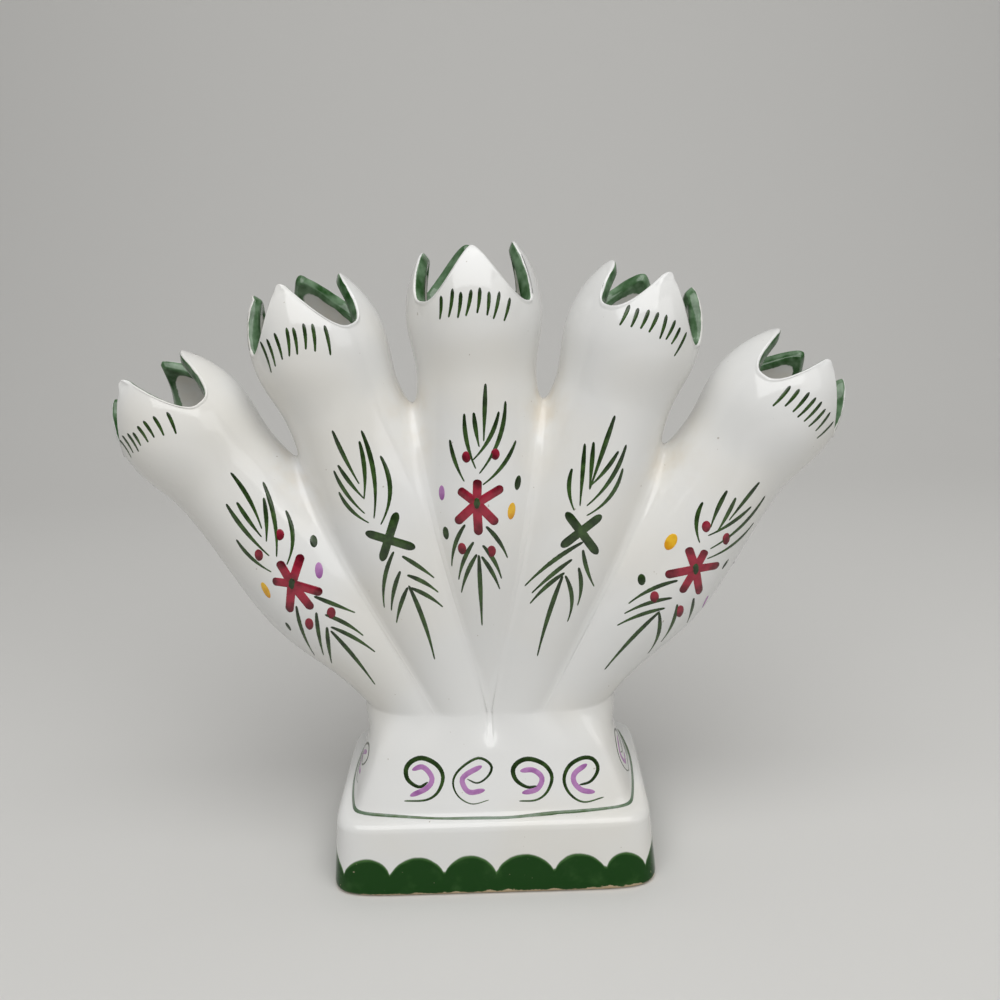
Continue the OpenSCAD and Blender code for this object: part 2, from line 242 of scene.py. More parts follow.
def halved(low, high, inside):
    """Where a surface lies between low, which is inside, and high."""
    for _ in range(HALVINGS):
        now = (low + high) / 2
        still = inside(now)
        low, high = np.where(still, now, low), np.where(still, high, now)
    return low


def crease_round(j, x, z):
    """Rounding between finger j and the next one at a point of their joint, wider in the open valley."""
    share = 0.0
    for k in (j, j + 1):
        s, off = nearest(k, x, z)
        share = share + off / radius(k, s) / 2
    return mix(CREASE_ROUND, VALLEY_ROUND, ease((share - CREASE_SHARE) / (1 - CREASE_SHARE)))


def half_depth(j, x, z):
    """Half depth of the joint between finger j and the next one; nought above the valley."""
    rounding = crease_round(j, x, z)

    def inside(y):
        return rounded(gap_to(j, x, y, z), gap_to(j + 1, x, y, z), rounding) < 0

    nought = np.zeros_like(x)
    return np.where(inside(nought), halved(nought, np.full_like(x, BELLY_R + VALLEY_ROUND), inside), 0.0)


def ring_tilt(k, s):
    return tilt_at(k, s) * ease(s / (LEVEL_SHARE * REACH[k]))


def has_joint(k, side):
    return k < FAR_RIGHT if side > 0 else k > FAR_LEFT


def joint_at(k, s, side):
    """Distance, half depth and rounding of the joint beside a ring; a free side has none."""
    if not has_joint(k, side):
        return np.full_like(s, HEIGHT), np.zeros_like(s), np.ones_like(s)
    j = k if side > 0 else k - 1
    tilt = ring_tilt(k, s)
    nx, nz = np.cos(tilt), -np.sin(tilt)
    cx, cz = axis_at(k, s)
    tx, tz = seam_run(j)
    d = -cross2(cx - seam_foot(j), cz - WAIST_H, tx, tz) / cross2(nx, nz, tx, tz)
    px, pz = cx + nx * d, cz + nz * d
    return np.abs(d), half_depth(j, px, pz), crease_round(j, px, pz)


def section_r(k, s, angle):
    lean = np.cos(tilt_at(k, s) - ring_tilt(k, s))
    return radius(k, s) / np.hypot(np.cos(angle) * lean, np.sin(angle))


def on_ring(k, s, angle, r):
    """Points at an angle and a distance from a finger's middle line."""
    x, z = axis_at(k, s)
    tilt = ring_tilt(k, s)
    out = r * np.cos(angle)
    return x + np.cos(tilt) * out, r * np.sin(angle), z - np.sin(tilt) * out


def swollen_r(k, s, angle, side, plane, rounding):
    """Outside radius on one side, rounded into the valley against the neighbour and never past the joint."""
    r = section_r(k, s, angle)
    if not has_joint(k, side):
        return r

    def inside(now):
        return rounded(now - r, gap_to(k + side, *on_ring(k, s, angle, now)), rounding) < 0

    return halved(np.minimum(r, plane), np.minimum(r + rounding / 4, plane), inside)


def bore_r(k, s, angle, d):
    thick = mix(TIP_WALL, WALL, np.sqrt(np.clip((REACH[k] - s) / CUP_DROP, 0.0, 1.0)))
    flat = (d - WALL / 2) / np.maximum(np.abs(np.cos(angle)), TINY)
    return np.minimum(section_r(k, s, angle) - thick, flat)


def crown_knots(k):
    """Angles of the petals and cuts of a crown, in turn, and of its first petal again."""
    both = np.stack([PETAL_ANGLES[k], CUT_ANGLES[k]], axis=-1).ravel()
    return np.append(both, both[0] + 2 * math.pi)


def even_angle(k, angle):
    """The angle of an even crown at which its edge is as this crown's is here."""
    first = PETAL_ANGLES[k][0]
    return np.interp((angle - first) % (2 * math.pi) + first, crown_knots(k), EVEN_ANGLES)


def petal_cut(even, share):
    """Share of a cut's depth: pointed front and back petals, broad side petals."""
    from_face = np.abs(math.pi / 2 - even % math.pi)
    pointed = np.sin(math.pi / 2 * np.minimum(from_face / FACE_SPAN, 1.0)) ** PETAL_POINT
    u = np.maximum((from_face - FACE_SPAN) / SIDE_SPAN, 0.0)
    low = 1 / (1 + (1 / share) ** PETAL_STEEP)
    broad = (1 / (1 + (u / share) ** PETAL_STEEP) - low) / (1 - low)
    return np.where(from_face < FACE_SPAN, pointed, broad)


def cut_at(k, angle):
    """Depth of the cut edge below a finger's full length."""
    even = even_angle(k, angle)
    right, back, left, front = PETAL_DROPS[k]
    facing = np.where(np.sin(even) > 0, back, front)
    beside = np.where(np.cos(even) > 0, right, left)
    drop = np.where(np.abs(math.pi / 2 - even % math.pi) < FACE_SPAN, facing, beside)
    deepest = CUT_DEPTH + np.array(CUT_EXTRAS[k])[(even // (math.pi / 2)).astype(int) % 4]
    return mix(drop, deepest, petal_cut(even, np.where(np.cos(even) > 0, *PETAL_SHARES[k])))


def rim_angles(share):
    """Angles in a quarter of an even crown that follow its cut edge in even steps."""
    a = np.linspace(0.0, math.pi / 2, RIM_SAMPLES)
    rise = np.diff(CUT_DEPTH * petal_cut(a, share))
    length = np.concatenate([[0.0], np.cumsum(np.hypot(rise, CUP_R * np.diff(a)))])
    return np.interp(np.linspace(0.0, length[-1], QUARTER + 1), length, a)[None]


def whole_turn(right, left):
    """Quarter turns of angles, on the right and on the left, made into whole turns."""
    back = [right[:, :-1], math.pi - left[:, :0:-1]]
    front = [math.pi + left[:, :-1], 2 * math.pi - right[:, :0:-1]]
    return np.hstack(back + front)


def ring_angles(k, drop):
    """Angles of each ring's points, one of them on each edge of its joints, and which lie on a joint."""
    i = np.arange(QUARTER + 1)
    least = mix(EVEN_FLANK, SADDLE_FLANK, ease((drop - NECK_DROP) / SADDLE_RUN))
    to_rim = 1 - ease((drop - RIM_RUN) / (NECK_DROP - RIM_RUN))
    quarters, flat = [], []
    for side in (1, -1):
        d, depth, _ = joint_at(k, REACH[k] - drop, side)
        edge = np.arctan2(depth, d)
        joined = has_joint(k, side) & (edge >= least)
        edge = np.maximum(edge, least) if has_joint(k, side) else np.full_like(drop, EVEN_FLANK)
        rest = mix(edge[:, None], math.pi / 2, (i - FLANK) / (QUARTER - FLANK))
        quarters.append(np.where(i <= FLANK, edge[:, None] * i / FLANK, rest))
        flat.append(joined[:, None] & (i <= FLANK))
    right, left = flat
    joint = np.hstack([right[:, :-1], left[:, :0:-1], left[:, :-1], right[:, :0:-1]])
    at_rim = np.interp(whole_turn(*map(rim_angles, PETAL_SHARES[k])), EVEN_ANGLES, crown_knots(k))
    return mix(whole_turn(*quarters), at_rim, to_rim[:, None]), joint


def finger_rows(k, drop, bored=False):
    """Rings of a finger at each drop below its petal tips, bent to the cut edge above the neck."""
    angle, on_joint = ring_angles(k, drop)
    bent = np.maximum(1 - drop / NECK_DROP, 0.0)[:, None]
    s = (REACH[k] - drop)[:, None] - (cut_at(k, angle) + CUT_SLANT * bored) * bent
    r = np.zeros_like(s)
    for side in (1, -1):
        here = side * np.cos(angle) > 0
        d, _, rounding = joint_at(k, s, side)
        if bored:
            r = np.where(here, bore_r(k, s, angle, d), r)
            continue
        plane = (d + JOINT_LAP) / np.maximum(np.abs(np.cos(angle)), TINY)
        free_r = swollen_r(k, s, angle, side, plane, rounding)
        on_joint = on_joint | (here & (free_r > plane - FLUSH))
        r = np.where(here, np.where(on_joint, plane, free_r), r)
    return np.stack(on_ring(k, s, angle, r), axis=-1), on_joint


def rim_rows(outer, inner):
    """Rounded cut edge between the outside and the inside of a crown."""
    middle = (outer + inner) / 2
    along = unit(np.roll(middle, -1, axis=0) - np.roll(middle, 1, axis=0))
    up = unit(np.cross(unit(outer - inner), along))
    steps = [mix(outer, inner, across) + up * RIM_ROUND * (lift - 1.0) for across, lift, _ in RIM_STEPS]
    return np.array(steps)


def bore_bottom(k):
    """Depth of a bore: right through, except that the centre finger ends in a solid wedge."""
    if k != CENTRE:
        return REACH[k]
    slopes = [seam_run(j)[0] / seam_run(j)[1] for j in (LEFT, CENTRE)]
    return REACH[k] - (WALL + 2 * LEAST_BORE - CENTRE_ROOT_W) / (slopes[1] - slopes[0])


def valley_top(j):
    """Point at the bottom of the open valley between finger j and the next one."""
    tx, tz = seam_run(j)
    t = np.linspace(*VALLEY_SEARCH)
    x, z = seam_foot(j) + tx * t, WAIST_H + tz * t
    last = np.argmax(half_depth(j, x, z) <= 0)
    return x[last], z[last]


def drops_down(k, bottom, cup_rows, stem_rows, saddle_rows=0):
    """Drops of the rows from just under the rim down to the bottom, closer together beside the valleys."""
    cup = np.linspace(BELOW_RIM, NECK_DROP, cup_rows)
    rows = [cup, np.linspace(NECK_DROP, bottom, stem_rows + 1)[1:]]
    for side in (1, -1):
        if saddle_rows and has_joint(k, side):
            s, _ = nearest(k, *valley_top(k if side > 0 else k - 1))
            rows.append(REACH[k] - s + np.linspace(-SADDLE_RUN, SADDLE_RUN, saddle_rows))
    return np.sort(np.concatenate(rows))


# Shape of the pedestal and the plinth


def oblong_r(angle, half, power):
    """Distance from the middle to the edge of a bowed rectangle."""
    x, y = np.abs(np.cos(angle)) / half[0], np.abs(np.sin(angle)) / half[1]
    return (x**power + y**power) ** (-1 / power)


def bowed_r(angle, half, bow):
    """The same for one with bowed sides that meet in ridges."""
    r = oblong_r(angle, half, RIDGE_POWER)
    for _ in range(BOW_ROUNDS):
        x, y = r * np.cos(angle) / half[0], r * np.sin(angle) / half[1]
        r = (r + oblong_r(angle, (half[0] - bow[0] * y * y, half[1] - bow[1] * x * x), RIDGE_POWER)) / 2
    return r


def plan_r(angle, inset):
    return oblong_r(angle, (PLINTH_HALF[0] - inset, PLINTH_HALF[1] - inset), PLAN_POWER)


def plan_angles():
    """Steps round the plan that give its corners their share of points."""
    a = 2 * math.pi * np.arange(BASE_COLUMNS) / BASE_COLUMNS
    return np.arctan2(PLINTH_HALF[1] * np.sin(a), PLINTH_HALF[0] * np.cos(a))


def ring(angle, reach, z):
    return np.stack([reach * np.cos(angle), reach * np.sin(angle), np.full_like(angle, z)], axis=-1)


class Flare:
    """The pedestal: from the outline of the five roots to an oblong with bowed sides."""

    def __init__(self, roots):
        turn = np.arctan2(roots[:, 1], roots[:, 0])
        order = np.argsort(turn)
        self.turn = turn[order]
        self.reach = np.hypot(roots[:, 0], roots[:, 1])[order]

    def fluted(self, angle):
        return np.interp(angle, self.turn, self.reach, period=2 * math.pi)

    def row(self, angle, u, inset=0.0):
        """Ring of the pedestal at the share u of its height."""
        rise = WAIST_H - PLINTH_H
        t = 1 - (1 - u) ** FLARE_POWER
        half = [mix(low, high, t) for low, high in zip(FLARE_FOOT_HALF, WAIST_HALF)]
        bow = [mix(low, high, t) for low, high in zip(FLARE_FOOT_BOW, FLARE_WAIST_BOW)]
        flutes = self.fluted(angle) / bowed_r(angle, WAIST_HALF, FLARE_WAIST_BOW) - 1
        reach = bowed_r(angle, half, bow) * (1 + flutes * ease((u - 1 + FLUTE_SHARE) / FLUTE_SHARE))
        foot = FOOT_FILLET * max(1 - u * rise / FOOT_FILLET_H, 0.0) ** 2
        return ring(angle, reach + foot - inset, mix(PLINTH_H, WAIST_H, u))


def plinth_profile():
    """Inset and height of the plinth's outside, from its foot's inner edge to under the pedestal."""
    steps = [(FOOT_RING, 0.0), (FOOT_RING * FOOT_MIDDLE, 0.0)]
    for a in np.linspace(0.0, math.pi / 2, FOOT_STEPS):
        steps.append((FOOT_R * (1 - math.sin(a)), FOOT_R * (1 - math.cos(a))))
    high = PLINTH_H - SHOULDER_R
    for u in np.linspace(0.0, 1.0, SIDE_STEPS)[1:-1]:
        steps.append((PLINTH_DRAFT * u, mix(FOOT_R, high, u)))
    for a in np.linspace(0.0, math.pi / 2, SHOULDER_STEPS):
        steps.append((PLINTH_DRAFT + SHOULDER_R * (1 - math.cos(a)), high + SHOULDER_R * math.sin(a)))
    steps.append((PEDESTAL_INSET, PLINTH_H))
    steps.append((FOOT_RING, PLINTH_H))
    return steps


# Scallops: where those in front meet between the corners, how many are on each end, their height and how it
# varies from one to the next
SCALLOPS_MEET, SIDE_SCALLOPS = (-32.0, -15.3, 0.7, 18.4, 34.2), 4
SCALLOP_LOW, SCALLOP_HIGH, SCALLOP_ROUND = 7.0, 12.8, 0.65
SCALLOP_UNEVEN, SCALLOP_TURN, SIDE_TURN = 0.5, 7.0, 2.0


def scallop_height(angle):
    corner = math.atan2(PLINTH_HALF[1], PLINTH_HALF[0])
    a = np.abs((angle + math.pi) % (2 * math.pi) - math.pi)
    on_side = (a < corner) | (a > math.pi - corner)
    reach = plan_r(angle, 0.0)
    to_corner = plan_r(corner, 0.0)
    beside = (reach * np.sin(angle) / (to_corner * math.sin(corner)) + 1) / 2 * SIDE_SCALLOPS
    meet = [-to_corner * math.cos(corner), *SCALLOPS_MEET, to_corner * math.cos(corner)]
    in_front = np.interp(reach * np.cos(angle), meet, range(len(meet)))
    u = np.where(on_side, beside, in_front)
    lobe = 2 * (u - np.floor(u)) - 1
    uneven = SCALLOP_UNEVEN * np.sin(SCALLOP_TURN * np.floor(u) + SIDE_TURN * on_side)
    return SCALLOP_LOW + (SCALLOP_HIGH - SCALLOP_LOW + uneven) * np.maximum(1 - lobe**2, 0.0) ** SCALLOP_ROUND


# Meshes


def quads(rows, columns, wrap):
    """Corners of the quads of a grid that is closed round, and over its last row too where it wraps."""
    r = np.arange(rows if wrap else rows - 1)[:, None]
    c = np.arange(columns)[None, :]
    r, c, r2, c2 = np.broadcast_arrays(r, c, (r + 1) % rows, (c + 1) % columns)
    corners = [r * columns + c, r * columns + c2, r2 * columns + c2, r2 * columns + c]
    return np.stack(corners, axis=-1).reshape(-1, 4)


def face_normals(points, faces):
    a, b, c, d = (points[faces[:, i]] for i in range(4))
    return np.cross(c - a, d - b)


def point_normals(points, faces, shown):
    """Smooth normals of the points, from the shown faces only."""
    total = np.zeros_like(points)
    flat = face_normals(points, faces)
    for i in range(4):
        np.add.at(total, faces[shown, i], flat[shown])
    return unit(total)


class Skin:
    """Closed grid of pottery: rows of points, the faces that show, and smooth normals over those."""

    def __init__(self, rows, hidden, wrap=True):
        self.rows = rows
        self.points = rows.reshape(-1, 3)
        self.faces = quads(len(rows), rows.shape[1], wrap)
        self.shown = ~hidden.ravel()[: len(self.faces)]
        self.normals = point_normals(self.points, self.faces, self.shown)

    def row_normals(self, row):
        return self.normals.reshape(self.rows.shape)[row]

    def ends(self):
        """Faces over the two ends of a grid that doesn't wrap."""
        columns = self.rows.shape[1]
        last = len(self.points) - columns
        return [list(range(columns))[::-1], list(range(last, last + columns))]


def put(name, data):
    """New object in the scene."""
    made = bpy.data.objects.new(name, data)
    bpy.context.scene.collection.objects.link(made)
    return made


def make_mesh(name, points, faces, material):
    mesh = bpy.data.meshes.new(name)
    mesh.from_pydata(points, [], faces)
    mesh.polygons.foreach_set("use_smooth", [True] * len(faces))
    mesh.materials.append(material)
    return mesh


def make_piece(name, points, faces, material, values):
    mesh = make_mesh(name, (points * MM).tolist(), faces, material)
    for label, value in values.items():
        layer = mesh.attributes.new(label, "FLOAT", "POINT")
        layer.data.foreach_set("value", np.asarray(value, np.float32).ravel())
    piece = put(name, mesh)
    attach(piece, "root")
    return piece


def make_pottery(name, skin, material, node, values, ends=False):
    """Piece of pottery that stands for a solid; its hidden faces keep their own flat normals."""
    corner = skin.normals[skin.faces]
    flat = unit(face_normals(skin.points, skin.faces))
    corner[~skin.shown] = flat[~skin.shown][:, None, :]
    corner = corner.reshape(-1, 3).tolist()
    faces = skin.faces.tolist()
    if ends:
        for face, way in zip(skin.ends(), (-1.0, 1.0)):
            faces.append(face)
            corner += [(0.0, 0.0, way)] * len(face)
    piece = make_piece(name, skin.points, faces, material, values)
    piece.data.normals_split_custom_set(corner)
    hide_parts(node)


# Materials


def add(tree, kind, made=None, **inputs):
    """New node, of a group where one is given, with its input values set by name."""
    node = tree.nodes.new("ShaderNode" + kind)
    if made:
        node.node_tree = made
    for key, value in inputs.items():
        node.inputs[key.replace("_", " ")].default_value = value
    return node


def feed(tree, value, socket):
    """Set a socket to a plain value, or link it to where its value comes from."""
    if isinstance(value, (float, tuple)):
        socket.default_value = value
    else:
        tree.links.new(value, socket)


def shader(name):
    material = bpy.data.materials.new(name)
    material.use_nodes = True
    return material, material.node_tree, material.node_tree.nodes["Principled BSDF"]


def group(name, takes, gives):
    tree = bpy.data.node_groups.new(name, "ShaderNodeTree")
    for label, kind, value in takes:
        socket = tree.interface.new_socket(label, in_out="INPUT", socket_type="NodeSocket" + kind)
        socket.default_value = value
    for label, kind in gives:
        tree.interface.new_socket(label, in_out="OUTPUT", socket_type="NodeSocket" + kind)
    return tree, tree.nodes.new("NodeGroupInput"), tree.nodes.new("NodeGroupOutput")


def where_on(tree):
    return tree.nodes.new("ShaderNodeTexCoord").outputs["Object"]


def noise(tree, where, scale, detail=3.0, roughness=0.5):
    made = add(tree, "TexNoise", Detail=detail, Roughness=roughness)
    tree.links.new(where, made.inputs["Vector"])
    feed(tree, scale, made.inputs["Scale"])
    return made.outputs["Fac"]


def ramp(tree, value, low, high):
    """0 below low, 1 above high, eased between."""
    made = add(tree, "MapRange", From_Min=low, From_Max=high)
    made.interpolation_type = "SMOOTHSTEP"
    tree.links.new(value, made.inputs["Value"])
    return made.outputs["Result"]


def patches(tree, where, scale, detail, low, high):
    """Soft-edged patches of noise."""
    return ramp(tree, noise(tree, where, scale, detail), low, high)


def bump(tree, where, scale, detail, strength, distance):
    """Bumps of noise."""
    made = add(tree, "Bump", Strength=strength, Distance=distance)
    tree.links.new(noise(tree, where, scale, detail), made.inputs["Height"])
    return made


def calc(tree, operation, a, b):
    made = tree.nodes.new("ShaderNodeMath")
    made.operation = operation
    for socket, value in zip(made.inputs, (a, b)):
        feed(tree, value, socket)
    return made.outputs["Value"]


def wobbled(tree, where, value, scale, size):
    """A value made uneven by noise that swings about nought."""
    swing = calc(tree, "SUBTRACT", noise(tree, where, scale), 0.5)
    return calc(tree, "ADD", value, calc(tree, "MULTIPLY", swing, size))


def blend(tree, share, below, above):
    """Colour between two others."""
    made = tree.nodes.new("ShaderNodeMix")
    made.data_type = "RGBA"
    for socket, value in zip((made.inputs[0], made.inputs[6], made.inputs[7]), (share, below, above)):
        feed(tree, value, socket)
    return made.outputs[2]


def attribute(tree, name):
    made = tree.nodes.new("ShaderNodeAttribute")
    made.attribute_name = name
    return made.outputs["Fac"]


def rgb(r, g, b):
    """Linear colour from the 0 to 255 values that the eye reads."""
    shares = [c / 255.0 for c in (r, g, b)]
    return *(c / 12.92 if c <= 0.04045 else ((c + 0.055) / 1.055) ** 2.4 for c in shares), 1.0


WHITE, CREAM = rgb(229, 229, 227), rgb(228, 226, 220)
# The ochre is the colour of the painted shade in the valleys between fingers and in the bores
SHADE_OCHRE, SPECK = rgb(205, 182, 138), rgb(128, 104, 74)
CLAY, PALE_CLAY = rgb(172, 146, 110), rgb(206, 190, 160)
SCALLOP_GREEN, SCALLOP_EDGE = rgb(16, 62, 8), rgb(70, 108, 56)
LEAF_GREEN, DARK_LEAF = rgb(64, 92, 44), rgb(28, 46, 18)
RIM_GREEN, PALE_RIM = rgb(34, 76, 28), rgb(128, 156, 126)
CRIMSON, DEEP_CRIMSON = rgb(158, 36, 58), rgb(88, 8, 24)
MAUVE, DEEP_MAUVE = rgb(182, 132, 184), rgb(146, 88, 150)
YELLOW, AMBER = rgb(232, 184, 52), rgb(208, 140, 18)
PALE_LINE = rgb(108, 128, 108)
GLAZE_ROUGHNESS, PAINT_ROUGHNESS, CLAY_ROUGHNESS = 0.1, 0.14, 0.85
GLAZE_SHEEN, PAINT_SHEEN = 0.5, 0.2
# Patches: how fine their noise is, its detail, and the values of it between which they set in; the second
# ones break up the painted shade
TONE, SHADE_PATCHES = (22.0, 2.0, 0.42, 0.7), (130.0, 3.0, 0.3, 0.8)
SPECKS, SPECK_SHARE = (620.0, 1.0, 0.79, 0.81), 0.45
CHIPS, CHIP_SHARE = (560.0, 2.0, 0.73, 0.76), 0.6
# Bumps: how fine their noise is, its detail, their strength and their height in metres
WAVE, PEEL, GRIT = (70.0, 1.0, 0.2, 0.001), (700.0, 1.0, 0.04, 0.0002), (1500.0, 3.0, 0.3, 0.0003)
# Brushed colour: how fine its grain is, how far that swings, and how much paint pools on the rims
GRAIN, RIM_GRAIN, SCALLOP_GRAIN = 420.0, 240.0, 160.0
POOL_SWING, RIM_POOL = 1.6, 0.55
# Uneven edges of the green on rims and scallops: noise and its swing, where paint sets in and where it pools
RIM_WOBBLE, RIM_BAND = (260.0, 0.9), (0.42, 0.58)
SCALLOP_WOBBLE, SCALLOP_BAND, SCALLOP_POOLS = (300.0, 0.5), (-0.25, 0.35), (0.0, 1.4)
# Worn foot: noise, where its clay is bare and how rough that is, and how clay is mottled there and underneath
WEAR_NOISE, WEAR_BAND, WORN_ROUGHNESS = (210.0, 5.0, 0.65), (1.08, 1.18), (-0.25, 1.5)
FOOT_MOTTLE, SLAB_MOTTLE = (500.0,), (240.0, 5.0)


def glaze_group():
    """White glaze: slow change from cool to cream, ochre painted shade in the valleys and bores, a few specks
    and a faint wave.
    """
    gives = [("Color", "Color"), ("Normal", "Vector")]
    tree, given, out = group("white_glaze", [("Shade", "Float", 0.0)], gives)
    where = where_on(tree)
    body = blend(tree, patches(tree, where, *TONE), WHITE, CREAM)
    # Painted shade: ochre blended in as far as the attribute asks, in the valleys and the bores
    painted_shade = calc(tree, "MULTIPLY", given.outputs["Shade"], patches(tree, where, *SHADE_PATCHES))
    body = blend(tree, painted_shade, body, SHADE_OCHRE)
    specks = calc(tree, "MULTIPLY", patches(tree, where, *SPECKS), SPECK_SHARE)
    body = blend(tree, specks, body, SPECK)
    wave, peel = bump(tree, where, *WAVE), bump(tree, where, *PEEL)
    tree.links.new(wave.outputs["Normal"], peel.inputs["Normal"])
    tree.links.new(body, out.inputs["Color"])
    tree.links.new(peel.outputs["Normal"], out.inputs["Normal"])
    return tree


def brush_group():
    """Brushed colour: thin where the brush runs dry and dark where it stops and the paint pools."""
    takes = [
        ("Thin", "Color", LEAF_GREEN),
        ("Pooled", "Color", DARK_LEAF),
        ("Pool", "Float", 0.0),
        ("Grain", "Float", GRAIN),
    ]
    tree, given, out = group("brushed_colour", takes, [("Color", "Color")])
    share = wobbled(tree, where_on(tree), given.outputs["Pool"], given.outputs["Grain"], POOL_SWING)
    colour = blend(tree, ramp(tree, share, 0.0, 1.0), given.outputs["Thin"], given.outputs["Pooled"])
    tree.links.new(colour, out.inputs["Color"])
    return tree


WHITE_GLAZE = glaze_group()
BRUSHED = brush_group()


def glaze_material(name, painted_shade=None):
    """Glazed pottery; gives its material, its nodes, its surface and the glaze's colour."""
    material, tree, surface = shader(name)
    glaze = add(tree, "Group", WHITE_GLAZE)
    # Painted shade, read from an attribute where one is named
    if painted_shade:
        tree.links.new(attribute(tree, painted_shade), glaze.inputs["Shade"])
    surface.inputs["Roughness"].default_value = GLAZE_ROUGHNESS
    tree.links.new(glaze.outputs["Normal"], surface.inputs["Normal"])
    tree.links.new(glaze.outputs["Color"], surface.inputs["Base Color"])
    return material, tree, surface, glaze.outputs["Color"]


def finger_glaze():
    """Glaze of the fingers, with the green brushed on the cut rims."""
    material, tree, surface, body = glaze_material("finger_glaze", "painted_shade")
    mask = ramp(tree, wobbled(tree, where_on(tree), attribute(tree, "rim"), *RIM_WOBBLE), *RIM_BAND)
    paint = add(tree, "Group", BRUSHED, Thin=PALE_RIM, Pooled=RIM_GREEN, Pool=RIM_POOL, Grain=RIM_GRAIN)
    tree.links.new(blend(tree, mask, body, paint.outputs["Color"]), surface.inputs["Base Color"])
    return material


def plinth_glaze():
    """Glaze of the plinth, with the green scallops round it and bare clay along its worn foot."""
    material, tree, surface, body = glaze_material("plinth_glaze")
    where = where_on(tree)
    inside = wobbled(tree, where, attribute(tree, "scallop"), *SCALLOP_WOBBLE)
    paint = add(tree, "Group", BRUSHED, Thin=SCALLOP_EDGE, Pooled=SCALLOP_GREEN, Grain=SCALLOP_GRAIN)
    tree.links.new(ramp(tree, inside, *SCALLOP_POOLS), paint.inputs["Pool"])
    painted = ramp(tree, inside, *SCALLOP_BAND)
    body = blend(tree, painted, body, paint.outputs["Color"])
    sheen = calc(tree, "SUBTRACT", GLAZE_SHEEN, calc(tree, "MULTIPLY", painted, GLAZE_SHEEN - PAINT_SHEEN))
    tree.links.new(sheen, surface.inputs["Specular IOR Level"])
    chips = calc(tree, "MULTIPLY", patches(tree, where, *CHIPS), painted)
    body = blend(tree, calc(tree, "MULTIPLY", chips, CHIP_SHARE), body, PALE_CLAY)
    bare = calc(tree, "ADD", attribute(tree, "foot"), noise(tree, where, *WEAR_NOISE))
    worn = ramp(tree, bare, *WEAR_BAND)
    clay = blend(tree, noise(tree, where, *FOOT_MOTTLE), CLAY, PALE_CLAY)
    tree.links.new(blend(tree, worn, body, clay), surface.inputs["Base Color"])
    tree.links.new(ramp(tree, worn, *WORN_ROUGHNESS), surface.inputs["Roughness"])
    return material


def paint_material(name, thin, pooled):
    material, tree, surface = shader(name)
    paint = add(tree, "Group", BRUSHED, Thin=thin, Pooled=pooled)
    tree.links.new(attribute(tree, "pool"), paint.inputs["Pool"])
    tree.links.new(paint.outputs["Color"], surface.inputs["Base Color"])
    surface.inputs["Roughness"].default_value = PAINT_ROUGHNESS
    return material


def clay_material():
    material, tree, surface = shader("bare_clay")
    where = where_on(tree)
    mottled = blend(tree, noise(tree, where, *SLAB_MOTTLE), CLAY, PALE_CLAY)
    tree.links.new(mottled, surface.inputs["Base Color"])
    tree.links.new(bump(tree, where, *GRIT).outputs["Normal"], surface.inputs["Normal"])
    surface.inputs["Roughness"].default_value = CLAY_ROUGHNESS
    return material


# The pottery

# Painted shade, in ochre, in the valleys between fingers: its reach, how far below them its middle is, and
# its share there and in the bores
SHADE_REACH, SHADE_BELOW, SHADE_SHARE, BORE_SHADE = 12.0, 6.0, 0.45, 0.25
OUTER_CUP_ROWS, OUTER_STEM_ROWS, SADDLE_ROWS = 36, 80, 41
BORE_CUP_ROWS, BORE_STEM_ROWS = 18, 26
PEDESTAL_ROWS, CHAMBER_ROWS = 60, 12
# Worn foot: its height, how much that varies and where it is highest
WEAR_H, WEAR_UNEVEN, WEAR_TURN = 2.4, 0.6, math.radians(-55.0)


def finger_skin(k):
    """A finger's skin from root to rim and down the bore, its free root points and the paint on its rim."""
    drops = drops_down(k, REACH[k], OUTER_CUP_ROWS, OUTER_STEM_ROWS, SADDLE_ROWS)
    outer, on_joint = finger_rows(k, drops[::-1])
    bore, _ = finger_rows(k, drops_down(k, bore_bottom(k), BORE_CUP_ROWS, BORE_STEM_ROWS), bored=True)
    edge = [finger_rows(k, np.zeros(1), bored)[0][0] for bored in (False, True)]
    rim = rim_rows(*edge)
    rows = np.concatenate([outer, rim, bore])
    hidden = np.zeros(rows.shape[:2], bool)
    beside = on_joint & np.roll(on_joint, -1, axis=1)
    hidden[: len(outer) - 1] = beside[:-1] & beside[1:]
    hidden[-1] = True
    skin = Skin(rows, hidden, wrap=k != CENTRE)
    normals = skin.normals.reshape(rows.shape)
    for side in (1, -1):
        if has_joint(k, side):
            tx, tz = seam_run(k if side > 0 else k - 1)
            plane = unit(np.array([tz, 0.0, -tx]))
            here = np.zeros(rows.shape[:2], bool)
            here[: len(outer)] = on_joint
            columns = np.arange(rows.shape[1])
            rightward = (columns <= QUARTER) | (columns >= 3 * QUARTER)
            here &= rightward if side > 0 else ~rightward
            normals[here] = unit(normals[here] - (normals[here] @ plane)[:, None] * plane)
    paint = np.zeros(rows.shape[:2])
    first = len(outer) + len(rim)
    paint[len(outer) : first] = np.array([step[2] for step in RIM_STEPS])[:, None]
    paint[first : first + len(BORE_PAINT)] = np.array(BORE_PAINT)[:, None]
    return skin, ~on_joint[0], paint


def turn_of(points):
    return np.arctan2(points[:, 1], points[:, 0])


def normals_by_turn(turn, points, normals):
    """Normals of a ring of points, read at other turns round it."""
    own = turn_of(points)
    order = np.argsort(own)
    read = [np.interp(turn, own[order], normals[order, i], period=2 * math.pi) for i in range(3)]
    return np.stack(read, axis=-1)


